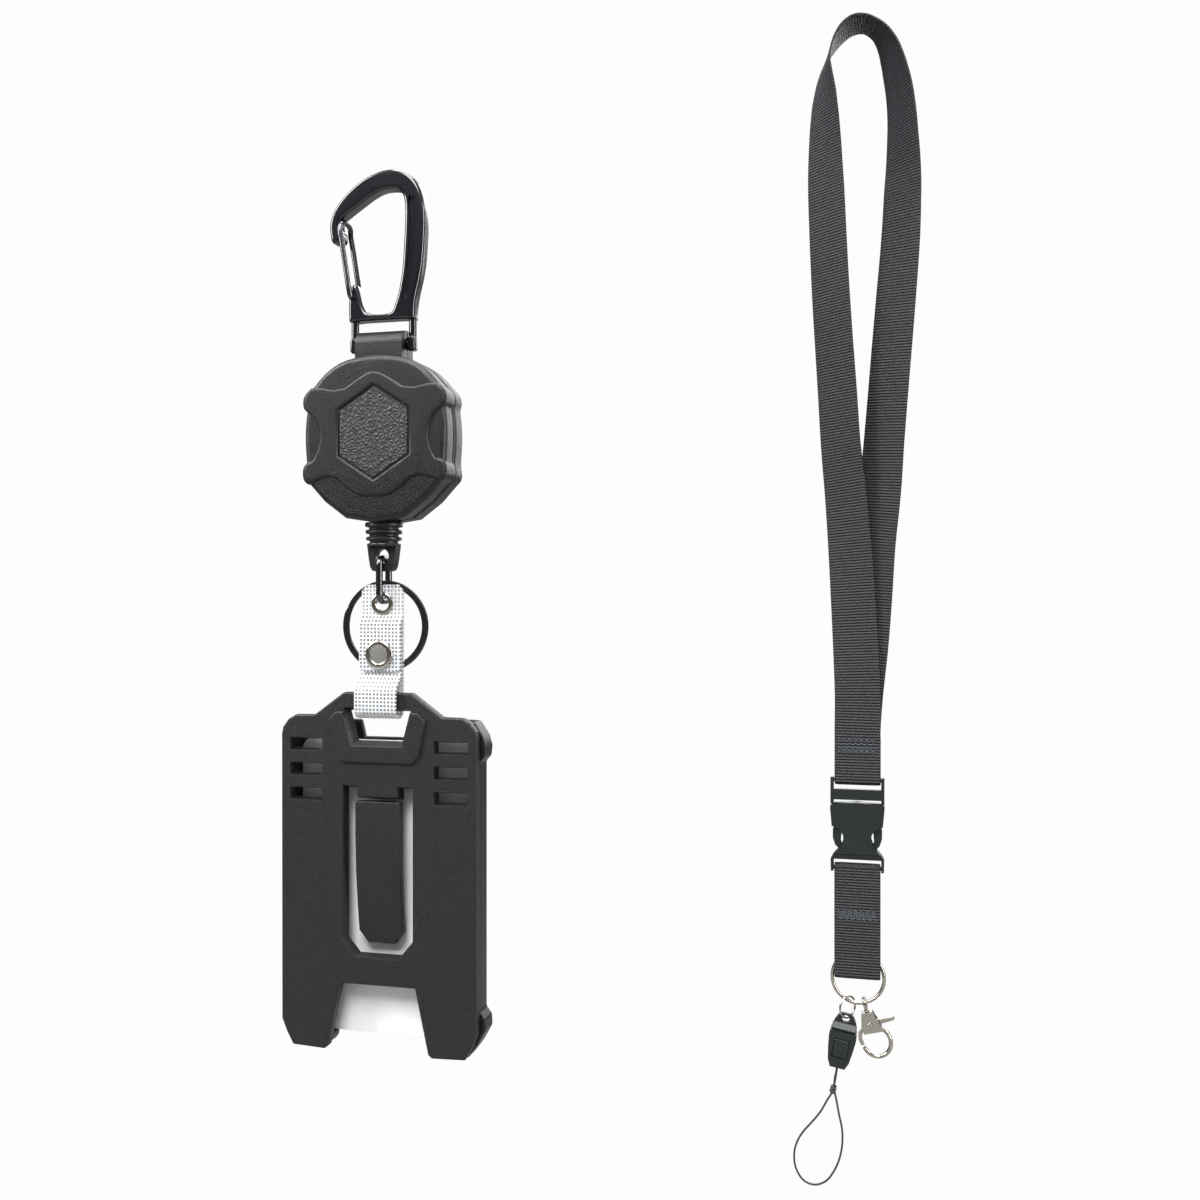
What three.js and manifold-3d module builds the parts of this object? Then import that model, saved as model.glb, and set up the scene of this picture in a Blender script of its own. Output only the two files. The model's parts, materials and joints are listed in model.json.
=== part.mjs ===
// Lanyard badge holder set: a carabiner reel with a rigid card holder, and a
// neck lanyard with a side-release buckle, trigger hook and string connector.
// Millimetres, +Z up. Fronts face -Y and +X is to the viewer's right. The origin
// is the point inside the carabiner's top bend where it hangs on a peg or loop.
import * as THREE from 'three';
import { mergeVertices } from 'three/addons/utils/BufferGeometryUtils.js';
import Module from 'manifold-3d';

const wasm = await Module();
wasm.setup();

// ---------------------------------------------------------------- dimensions
const CARAB_T = 4.8;            // forged carabiner thickness
const CARAB_PIN_Z = -44.6;      // cross bar held by the reel's lug
const CARAB_PIN_R = 1.5;
const GATE_WIRE_R = 0.8;
const LUG_HALF_W = 7.3;
const LUG_HALF_T = 4.1;
const REEL_Z = -71.8;           // drum axis height
const REEL_HALF_T = 7.2;
const REEL_CAVITY_R = 18.2;
const REEL_WALL = 1.5;
const SEAM = 0.15;              // half of the gap between the two case halves
const DRUM_R = 17.4;
const EXIT_Z = -95.1;           // bottom flat of the reel
const CORD_R = 0.6;
const EYE_Z = -105.8;           // hole in the cord end
const EYE_R = 2.05;
const LINK_WIRE_R = 1.0;
const LINK_HALF_W = 3.25;       // wire centre to centre, halved
const LINK_TOP_Z = -106.55;
const LINK_BOT_Z = -118.7;
const KEY_RING_R = 12.4;        // mean radius of the split ring
const KEY_RING_Z = -126.1;
const EYELET_Z = -119.5;
const STRAP_HALF_W = 6.4;
const STRAP_T = 0.7;
const SNAP_Z = -134.2;
const PLATE_FRONT = -4.85;      // holder front plate, front face
const PLATE_BACK = -1.85;
const HOLDER_BACK = 4.65;
const CARD_W = 54, CARD_H = 85.6, CARD_T = 0.8;  // ID-1 card
const CARD_FRONT = 1.95;
const CARD_BOTTOM = -245.0;

const LAN = new THREE.Vector3(124, 225, 136);  // neck loop's top, in the shared frame
const WEB_HALF_W = 9.9;         // 20 mm webbing
const WEB_T = 1.0;
const RING_R = 11.2;            // sewn-in ring, mean radius
const RING_WIRE = 0.8;
const RING_C = [0.3, -420.7];

// ------------------------------------------------------------------- helpers
const MATS = {
  gloss_black: [0x0b0d10, 0.22, 0.1], black_plastic: [0x1b1b1d, 0.62, 0.0],
  inlay: [0x242529, 0.7, 0.0], gunmetal: [0x4e4e52, 0.28, 1.0], nickel: [0xc9c6bf, 0.22, 1.0],
  spring_steel: [0x8b8d90, 0.3, 1.0], zinc: [0x9a9a98, 0.4, 1.0], cord: [0x121214, 0.8, 0.0],
  nylon: [0xd9d9d4, 0.5, 0.0], vinyl: [0xe8ebec, 0.2, 0.0], card: [0xf2f2f0, 0.35, 0.0],
  webbing: [0x1a1f26, 0.75, 0.0], buckle: [0x232b2b, 0.5, 0.0], clear: [0xdfe3e6, 0.15, 0.0],
};
const root = new THREE.Group();
function clean(g) {
  const c = g.index ? g.clone() : g;
  for (const k of Object.keys(c.attributes)) if (k !== 'position') c.deleteAttribute(k);
  return mergeVertices(c, 1e-4);
}
function solid(g) {
  const c = clean(g);
  return new wasm.Manifold(new wasm.Mesh({
    numProp: 3,
    vertProperties: new Float32Array(c.attributes.position.array),
    triVerts: new Uint32Array(c.index.array),
  }));
}
function geom(m) {
  const k = m.getMesh();
  const g = new THREE.BufferGeometry();
  g.setAttribute('position', new THREE.BufferAttribute(new Float32Array(k.vertProperties), 3));
  g.setIndex(new THREE.BufferAttribute(new Uint32Array(k.triVerts), 1));
  g.computeVertexNormals();
  return g;
}
const join = (...ms) => ms.reduce((a, b) => a.add(b));
const cut = (a, ...ms) => ms.reduce((p, b) => p.subtract(b), a);
function put(name, g, mat, at) {
  const [color, roughness, metalness] = MATS[mat];
  const geometry = g instanceof THREE.BufferGeometry ? clean(g) : geom(g);
  geometry.computeVertexNormals();
  const mesh = new THREE.Mesh(geometry, new THREE.MeshStandardMaterial({ color, roughness, metalness }));
  mesh.name = name;
  if (at) mesh.position.copy(at);
  root.add(mesh);
  return mesh;
}
const BASIS_XZ = new THREE.Matrix4().makeBasis(new THREE.Vector3(1, 0, 0), new THREE.Vector3(0, 0, 1), new THREE.Vector3(0, -1, 0));
const BASIS_YZ = new THREE.Matrix4().makeBasis(new THREE.Vector3(0, 1, 0), new THREE.Vector3(0, 0, 1), new THREE.Vector3(1, 0, 0));
const shape = (pts) => new THREE.Shape(pts.map((p) => new THREE.Vector2(p[0], p[1])));
// a flat outline in X and Z, extruded from y0 to y1
function prismXZ(pts, y0, y1) {
  const g = new THREE.ExtrudeGeometry(shape(pts), { depth: y1 - y0, bevelEnabled: false });
  g.applyMatrix4(BASIS_XZ);
  g.translate(0, y1, 0);
  return solid(g);
}
// a side outline in Y and Z, extruded from x0 to x1
function prismYZ(pts, x0, x1) {
  const g = new THREE.ExtrudeGeometry(shape(pts), { depth: x1 - x0, bevelEnabled: false });
  g.applyMatrix4(BASIS_YZ);
  g.translate(x0, 0, 0);
  return solid(g);
}
// a drafted prism: outline a at y0, outline b (same count) at y1
function draftXZ(a, y0, b, y1) {
  const n = a.length, pos = [], idx = [];
  const ccw = THREE.ShapeUtils.area(a.map((p) => new THREE.Vector2(p[0], p[1]))) > 0;
  for (const p of a) pos.push(p[0], y0, p[1]);
  for (const p of b) pos.push(p[0], y1, p[1]);
  for (const t of THREE.ShapeUtils.triangulateShape(a.map((p) => new THREE.Vector2(p[0], p[1])), [])) {
    idx.push(t[0], t[1], t[2], n + t[0], n + t[2], n + t[1]);
  }
  for (let i = 0; i < n; i++) {
    const j = (i + 1) % n;
    if (ccw) idx.push(i, n + i, n + j, i, n + j, j);
    else idx.push(i, n + j, n + i, i, j, n + j);
  }
  const g = new THREE.BufferGeometry();
  g.setAttribute('position', new THREE.BufferAttribute(new Float32Array(pos), 3));
  g.setIndex(idx);
  return solid(g);
}
const mirror = (pts) => pts.map((p) => [-p[0], p[1]]).reverse();
const box = (x0, x1, y0, y1, z0, z1) => {
  const g = new THREE.BoxGeometry(x1 - x0, y1 - y0, z1 - z0);
  g.translate((x0 + x1) / 2, (y0 + y1) / 2, (z0 + z1) / 2);
  return solid(g);
};
// a round bar along an axis, between two coordinates on that axis
function bar(axis, r, a, b, c, n = 16, r2 = r) {
  const g = new THREE.CylinderGeometry(axis === 'y' ? r : r2, axis === 'y' ? r2 : r, b - a, n);
  if (axis === 'x') { g.rotateZ(-Math.PI / 2); g.translate((a + b) / 2, c[0], c[1]); }
  if (axis === 'y') { g.rotateX(Math.PI); g.translate(c[0], (a + b) / 2, c[1]); }
  if (axis === 'z') { g.rotateX(Math.PI / 2); g.translate(c[0], c[1], (a + b) / 2); }
  return solid(g);
}
// turned piece: profile points are [radius, height along the axis]
function turned(axis, profile, c, n = 24, closed = false) {
  const pts = profile.map((p) => new THREE.Vector2(p[0], p[1]));
  if (closed) pts.push(pts[0].clone());
  const g = new THREE.LatheGeometry(pts, n);
  if (axis === 'y') g.translate(c[0], 0, c[1]);
  if (axis === 'z') { g.rotateX(Math.PI / 2); g.translate(c[0], c[1], 0); }
  let m = solid(g);
  if (m.volume() < 0) {
    const k = clean(g), ix = k.index.array;
    for (let i = 0; i < ix.length; i += 3) { const t = ix[i + 1]; ix[i + 1] = ix[i + 2]; ix[i + 2] = t; }
    m = solid(k);
  }
  return m;
}
const ringProfile = (R, r, n = 8) => Array.from({ length: n }, (_, i) => {
  const a = (i / n) * 2 * Math.PI; return [R + r * Math.cos(a), r * Math.sin(a)];
});
// a round wire along a smooth curve, with closed ends
function wire(points, r, steps, sides = 8, type = 'catmullrom', tension = 0.5) {
  const curve = new THREE.CatmullRomCurve3(points.map((p) => new THREE.Vector3(...p)), false, type, tension);
  const sec = shape(Array.from({ length: sides }, (_, i) => {
    const a = (i / sides) * 2 * Math.PI; return [r * Math.cos(a), r * Math.sin(a)];
  }));
  return new THREE.ExtrudeGeometry(sec, { steps, extrudePath: curve, bevelEnabled: false, curveSegments: 1 });
}
// a strip of constant thickness whose centre line lies in Y and Z
function stripYZ(line, t, x0, x1) {
  const l = [], r = [];
  for (let i = 0; i < line.length; i++) {
    const a = line[Math.max(0, i - 1)], b = line[Math.min(line.length - 1, i + 1)];
    let dy = b[0] - a[0], dz = b[1] - a[1];
    const s = Math.hypot(dy, dz); dy /= s; dz /= s;
    l.push([line[i][0] - dz * t / 2, line[i][1] + dy * t / 2]);
    r.push([line[i][0] + dz * t / 2, line[i][1] - dy * t / 2]);
  }
  return prismYZ([...l, ...r.reverse()], x0, x1);
}
// webbing: stations hold centre, width direction and face normal
function webbing(stations, halfW, t) {
  const pos = [], idx = [];
  for (const s of stations) {
    const [c, w, n] = s;
    for (const [a, b] of [[-1, -1], [1, -1], [1, 1], [-1, 1]]) {
      pos.push(c.x + w.x * halfW * a + n.x * t / 2 * b, c.y + w.y * halfW * a + n.y * t / 2 * b, c.z + w.z * halfW * a + n.z * t / 2 * b);
    }
  }
  const m = stations.length;
  for (let i = 0; i < m - 1; i++) for (let k = 0; k < 4; k++) {
    const a = i * 4 + k, b = i * 4 + (k + 1) % 4, c = a + 4, d = b + 4;
    idx.push(a, b, d, a, d, c);
  }
  idx.push(0, 3, 2, 0, 2, 1);
  const e = (m - 1) * 4; idx.push(e, e + 1, e + 2, e, e + 2, e + 3);
  const make = () => { const g = new THREE.BufferGeometry(); g.setAttribute('position', new THREE.BufferAttribute(new Float32Array(pos), 3)); g.setIndex(idx); return g; };
  let s = solid(make());
  if (s.volume() < 0) { for (let i = 0; i < idx.length; i += 3) { const q = idx[i + 1]; idx[i + 1] = idx[i + 2]; idx[i + 2] = q; } s = solid(make()); }
  return s;
}

// ----------------------------------------------------------------- carabiner
{
  const h = CARAB_T / 2;
  const hook = [
    [-14.2, -14.5], [-15.4, -14.3], [-16.0, -12.6], [-16.3, -8.9], [-15.4, -5.8], [-14.0, -3.5], [-11.9, -1.1], [-9.4, 1.1],
    [-6.0, 3.4], [-1.8, 5.1], [2.2, 5.8], [6.0, 5.2], [8.9, 3.6], [11.3, 0.9], [12.8, -3.0], [13.4, -8.9], [13.2, -15.0],
    [12.7, -21.3], [11.9, -26.0], [11.0, -29.6], [10.3, -33.4], [10.1, -37.6], [-10.1, -37.6], [-10.3, -32.5], [-9.9, -29.0],
    [-9.3, -27.2], [-8.4, -26.7], [-7.5, -27.4], [-6.8, -29.6], [-6.0, -32.6], [-4.6, -35.1], [-3.0, -35.7], [2.2, -35.7],
    [3.4, -35.0], [4.1, -33.4], [5.1, -30.4], [6.0, -26.0], [6.5, -22.4], [7.0, -15.0], [7.3, -8.0], [7.2, -4.4], [6.6, -1.8],
    [5.2, -0.4], [2.6, 0.0], [0.0, -0.2], [-3.4, -1.6], [-7.6, -4.2], [-11.0, -6.4], [-12.9, -7.9], [-13.0, -10.4], [-12.3, -11.6], [-12.3, -13.6], [-13.0, -14.4],
  ];
  let c = prismXZ(hook, -h, h);
  // flutes on both faces leave an I-beam section
  const flute = [[8.6, -3.0], [10.4, -3.0], [10.9, -9.0], [10.4, -18.0], [9.6, -25.0], [8.0, -31.0], [6.6, -31.4], [7.4, -26.0], [8.4, -18.0], [8.9, -9.0]];
  c = cut(c, prismXZ(flute, -h - 1, -h + 0.9), prismXZ(flute, h - 0.9, h + 1));
  // legs down both sides of the lug
  c = join(c, box(-10.1, -7.9, -1.8, 1.8, -46.6, -37.0), box(7.9, 10.1, -1.8, 1.8, -46.6, -37.0),
    bar('x', CARAB_PIN_R, -8.5, 8.5, [0, CARAB_PIN_Z], 16));
  c = cut(c, bar('y', 1.1, -4, 4, [-9.0, -30.8], 12));
  put('carabiner_body', c, 'gloss_black');
}
{
  const a = [[-9.0, -0.6, -30.8], [-9.0, -2.4, -30.8], [-9.05, -3.3, -30.4], [-9.3, -3.6, -28.8], [-10.4, -3.6, -22.0], [-11.7, -3.6, -14.0], [-12.2, -3.5, -11.0], [-12.0, -2.9, -9.4], [-11.8, -1.6, -8.7], [-11.75, 0, -8.55]];
  const b = a.slice(0, -1).map((p) => [p[0], -p[1], p[2]]).reverse();
  put('carabiner_gate', wire([...a, ...b], GATE_WIRE_R, 44, 8, 'centripetal'), 'gunmetal');
}

// ---------------------------------------------------------------------- reel
const REEL = [
  [-9.2, -95.1], [-20.4, -85.3], [-21.6, -84.0], [-22.0, -82.2], [-21.6, -79.6], [-21.9, -75.0], [-22.0, -70.5], [-21.7, -66.0], [-21.4, -63.6],
  [-21.9, -61.6], [-21.4, -59.2], [-19.6, -57.2], [-15.6, -53.0], [-11.2, -50.2], [-6.0, -48.8], [0, -48.3],
];
const REEL_OUT = [...REEL, ...mirror(REEL.slice(0, -1))];
const scaleAbout = (pts, k, cx, cz) => pts.map((p) => [cx + (p[0] - cx) * k, cz + (p[1] - cz) * k]);
const STAR_HALF = [[0, -53.0], [-2.0, -53.4], [-5.2, -55.2], [-9.0, -57.6], [-12.6, -58.0], [-16.4, -57.2], [-19.6, -57.2], [-21.4, -59.2], [-21.9, -61.6], [-21.4, -63.6],
  [-18.6, -66.0], [-17.2, -69.0], [-16.8, -72.0], [-17.6, -75.6], [-19.2, -78.4], [-21.6, -79.6], [-22.0, -82.2], [-21.6, -84.0], [-20.4, -85.3],
  [-17.6, -84.2], [-14.4, -83.2], [-11.6, -83.9], [-8.6, -86.4], [-5.2, -88.6], [-2.4, -89.2], [0, -89.2]];
const STAR = [...STAR_HALF, ...STAR_HALF.slice(1, -1).map((p) => [-p[0], p[1]]).reverse()];
const HEX = [[0, -57.2], [10.9, -64.0], [10.9, -77.2], [0, -84.2], [-10.9, -77.2], [-10.9, -64.0]];
const SCREWS = [[-17.2, -59.75], [17.2, -59.75], [-18.0, -82.3], [18.0, -82.3]];
const drumC = [0, REEL_Z];
function lugHalf(side) {
  const y0 = side < 0 ? -LUG_HALF_T : SEAM, y1 = side < 0 ? -SEAM : LUG_HALF_T;
  const top = [];
  for (let i = 0; i <= 8; i++) { const a = Math.PI * i / 8; top.push([LUG_HALF_T * Math.cos(a), CARAB_PIN_Z + 3.9 * Math.sin(a)]); }
  const full = prismYZ([...top, [-LUG_HALF_T, -52], [LUG_HALF_T, -52]], -LUG_HALF_W, LUG_HALF_W);
  return cut(full.intersect(box(-20, 20, y0, y1, -60, -30)), bar('x', CARAB_PIN_R + 0.3, -12, 12, [0, CARAB_PIN_Z], 16));
}
{
  const shell = join(
    draftXZ(scaleAbout(REEL_OUT, 0.93, 0, REEL_Z), -REEL_HALF_T, REEL_OUT, -REEL_HALF_T + 2.0),
    prismXZ(REEL_OUT, -REEL_HALF_T + 1.98, -SEAM),
    draftXZ(scaleAbout(STAR, 0.955, 0, REEL_Z), -REEL_HALF_T - 0.5, STAR, -REEL_HALF_T + 2.0));
  let f = join(shell, lugHalf(-1));
  f = cut(f, bar('y', REEL_CAVITY_R, -REEL_HALF_T + REEL_WALL, 1, drumC, 36),
    prismXZ(HEX, -9, -REEL_HALF_T + 0.4),
    bar('z', 1.6, -96, -86, [0, 0], 12), box(-6.5, 1.2, -1, 1, -91.6, -86),
    bar('z', 3.3, -96, -93.2, [0, 0], 16),
    ...SCREWS.map((p) => bar('y', 1.1, -3.0, 1, p, 12)));
  put('reel_front_cover', f, 'black_plastic');

  const back = join(
    prismXZ(REEL_OUT, SEAM, REEL_HALF_T - 1.6),
    draftXZ(REEL_OUT, REEL_HALF_T - 1.62, scaleAbout(REEL_OUT, 0.94, 0, REEL_Z), REEL_HALF_T));
  let b = join(back, lugHalf(1));
  b = cut(b, bar('y', REEL_CAVITY_R, -1, REEL_HALF_T - REEL_WALL, drumC, 36),
    bar('z', 1.6, -96, -86, [0, 0], 12), box(-6.5, 1.2, -1, 1, -91.6, -86), bar('z', 3.3, -96, -93.2, [0, 0], 16),
    ...SCREWS.map((p) => bar('y', 1.1, -1, 9, p, 12)), ...SCREWS.map((p) => bar('y', 2.0, 5.5, 9, p, 12)));
  put('reel_back_cover', b, 'black_plastic');

  put('hex_inlay', prismXZ(scaleAbout(HEX, 0.97, 0, -70.7), -REEL_HALF_T - 0.1, -REEL_HALF_T + 0.1), 'inlay');
  SCREWS.forEach((p, i) => put('case_screw_' + (i + 1), cut(
    join(bar('y', 1.7, 5.8, 6.9, p, 12), bar('y', 0.8, -2.6, 5.9, p, 10)),
    box(p[0] - 1.2, p[0] + 1.2, 6.5, 8, p[1] - 0.25, p[1] + 0.25), box(p[0] - 0.25, p[0] + 0.25, 6.5, 8, p[1] - 1.2, p[1] + 1.2)), 'zinc'));

  // drum: a cup with two flanges, open at the front for the spring
  put('cord_drum', turned('y', [[2.7, 3.9], [2.7, 4.9], [DRUM_R, 4.9], [DRUM_R, 3.9], [12.7, 3.9], [12.7, -4.1], [DRUM_R, -4.1], [DRUM_R, -4.9], [11.5, -4.9], [11.5, 3.9]], drumC, 32, true), 'nylon');
  put('wound_cord', turned('y', [[13.0, -3.8], [16.4, -3.8], [16.4, 3.6], [13.0, 3.6]], drumC, 28, true), 'cord');
  put('drum_post', cut(bar('y', 2.3, -4.6, 5.4, drumC, 16), box(-0.35, 0.35, -6, 3.4, REEL_Z - 3, REEL_Z + 3)), 'zinc');
  // flat spiral spring, hooked to the post inside and to the drum outside
  const turns = 5, per = 18, n = turns * per, li = [], lo = [];
  for (let i = 0; i <= n; i++) {
    const a = (i / per) * 2 * Math.PI, r = 3.1 + (11.0 - 3.1) * (i / n);
    li.push([(r - 0.14) * Math.cos(a), REEL_Z + (r - 0.14) * Math.sin(a)]);
    lo.push([(r + 0.14) * Math.cos(a), REEL_Z + (r + 0.14) * Math.sin(a)]);
  }
  put('power_spring', prismXZ([...li, ...lo.reverse()], -3.9, 3.4), 'spring_steel');
}
// exit grommet, held in the notch of both case halves
put('cord_guide', turned('z', [[1.15, 93.6], [3.0, 93.6], [3.0, 95.35], [4.0, 95.35], [4.0, 95.8], [1.15, 95.8]].map((p) => [p[0], -p[1]]), [0, 0], 16, true), 'nickel');
// the cord inside the case, from the drum to the exit, and the stretch that pays out
put('cord_lead', wire([[-15.0, 0, -80.4], [-12.2, 0, -84.1], [-9.0, 0, -86.6], [-4.6, 0, -89.0], [-1.4, 0, -90.6], [-0.2, 0, -91.6], [0, 0, -92.7]], 0.5, 14, 8), 'cord');
put('pull_cord', bar('z', 0.6, -99.0, -93.0, [0, 0], 8), 'cord');

// ----------------------------------------------------------------- cord end
{
  const p = [[0, -96.1], [5.3, -96.1], [5.45, -97.2], [4.3, -97.4], [4.3, -98.2], [5.25, -98.4], [5.25, -99.2], [4.2, -99.4], [4.2, -100.2], [5.1, -100.4], [5.1, -101.1], [4.1, -101.3], [4.1, -102.0], [4.9, -102.2], [4.8, -103.2], [0, -103.2]];
  let e = turned('z', p, [0, 0], 20);
  const eye = [[-4.75, -102.4], [-4.3, -105.0], [-3.7, -109.2], [-3.1, -110.1], [3.1, -110.1], [3.7, -109.2], [4.3, -105.0], [4.75, -102.4]];
  e = join(e.intersect(box(-6, 6, -6, 6, -103.0, -95)), prismXZ(eye, -1.6, 1.6));
  e = cut(e, bar('y', EYE_R, -4, 4, [0, EYE_Z], 18), bar('z', 0.95, -99.6, -95, [0, 0], 10));
  put('cord_end', e, 'black_plastic');
}
// oval link in the Y-Z plane
{
  class Oval extends THREE.Curve {
    getPoint(t) {
      const R = 2.0, w = LINK_HALF_W, zc = (LINK_TOP_Z + LINK_BOT_Z) / 2, h = (LINK_TOP_Z - LINK_BOT_Z) / 2;
      const a = w - R, b = h - R, seg = [2 * b, Math.PI * R / 2, 2 * a, Math.PI * R / 2, 2 * b, Math.PI * R / 2, 2 * a, Math.PI * R / 2];
      let s = t * seg.reduce((x, y) => x + y, 0), k = 0;
      while (k < 7 && s > seg[k]) { s -= seg[k]; k++; }
      const f = s / seg[k], q = Math.PI / 2;
      const P = [[w, -b + 2 * b * f], [a + R * Math.cos(q * f), b + R * Math.sin(q * f)], [a - 2 * a * f, h], [-a - R * Math.sin(q * f), b + R * Math.cos(q * f)],
        [-w, b - 2 * b * f], [-a - R * Math.cos(q * f), -b - R * Math.sin(q * f)], [-a + 2 * a * f, -h], [a + R * Math.sin(q * f), -b - R * Math.cos(q * f)]][k];
      return new THREE.Vector3(0, P[0], zc + P[1]);
    }
  }
  put('link_ring', solid(new THREE.TubeGeometry(new Oval(), 36, LINK_WIRE_R, 8, true)), 'gunmetal');
}
put('key_ring', turned('y', [[KEY_RING_R - 0.9, 0.4], [KEY_RING_R + 0.9, 0.4], [KEY_RING_R + 0.9, 1.6], [KEY_RING_R - 0.9, 1.6]], [0, KEY_RING_Z], 40, true), 'gunmetal');

// --------------------------------------------------------------- vinyl strap
{
  const yr = -0.6;  // rear leg, centre
  const line = [[yr, -115.0], [yr, -149.9]];
  for (let i = 1; i <= 9; i++) { const a = Math.PI * i / 9; line.push([-3.35 + 2.75 * Math.cos(a), -149.9 - 2.3 * Math.sin(a)]); }
  line.push([-6.1, -148.0], [-6.1, -145.0], [-5.6, -143.4], [-2.4, -140.4], [-1.85, -138.9], [-1.85, -125.4]);
  const rear = stripYZ(line, STRAP_T, -STRAP_HALF_W, STRAP_HALF_W);
  const tab = stripYZ([[-0.9, -116.0], [-0.9, -122.9], [-1.7, -124.0], [-2.85, -125.4], [-2.85, -139.1]], STRAP_T, -STRAP_HALF_W, STRAP_HALF_W);
  const weld = box(-STRAP_HALF_W, STRAP_HALF_W, -1.25, -0.25, -121.0, -114.1);
  let s = join(rear, tab, weld);
  s = cut(s, bar('y', 2.7, -4, 2, [0, EYELET_Z], 16), bar('y', 1.7, -2.35, 2, [0, SNAP_Z], 12), bar('y', 2.8, -4, -2.3, [0, SNAP_Z], 12));
  // clipped corners at the top and at the tab's end
  for (const sx of [-1, 1]) {
    const c1 = [[sx * 6.6, -113.9], [sx * 4.6, -113.9], [sx * 6.6, -116.0]], c2 = [[sx * 6.6, -139.4], [sx * 5.2, -139.4], [sx * 6.6, -137.9]];
    s = cut(s, prismXZ(sx < 0 ? c1 : c1.slice().reverse(), -2, 1), prismXZ(sx < 0 ? c2.slice().reverse() : c2, -3.6, -2.35));
  }
  put('clip_strap', s, 'vinyl');
  put('strap_eyelet', turned('y', [[2.1, -1.6], [3.3, -1.6], [3.3, -1.38], [2.5, -1.38], [2.5, -0.12], [3.3, -0.12], [3.3, 0.08], [2.1, 0.08]], [0, EYELET_Z], 20, true), 'nickel');
  put('snap_cap', turned('y', [[0, -4.1], [3.7, -4.1], [4.15, -3.8], [4.15, -3.4], [2.4, -3.35], [2.4, -2.45], [1.5, -2.45], [1.5, -3.35], [0, -3.35]], [0, SNAP_Z], 20), 'nickel');
  put('snap_stud', turned('y', [[0, -3.05], [1.1, -3.05], [1.2, -2.6], [1.0, -2.2], [1.3, -1.9], [1.3, -0.05], [3.5, -0.05], [3.3, 0.1], [0, 0.15]], [0, SNAP_Z], 16), 'nickel');
}

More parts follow.
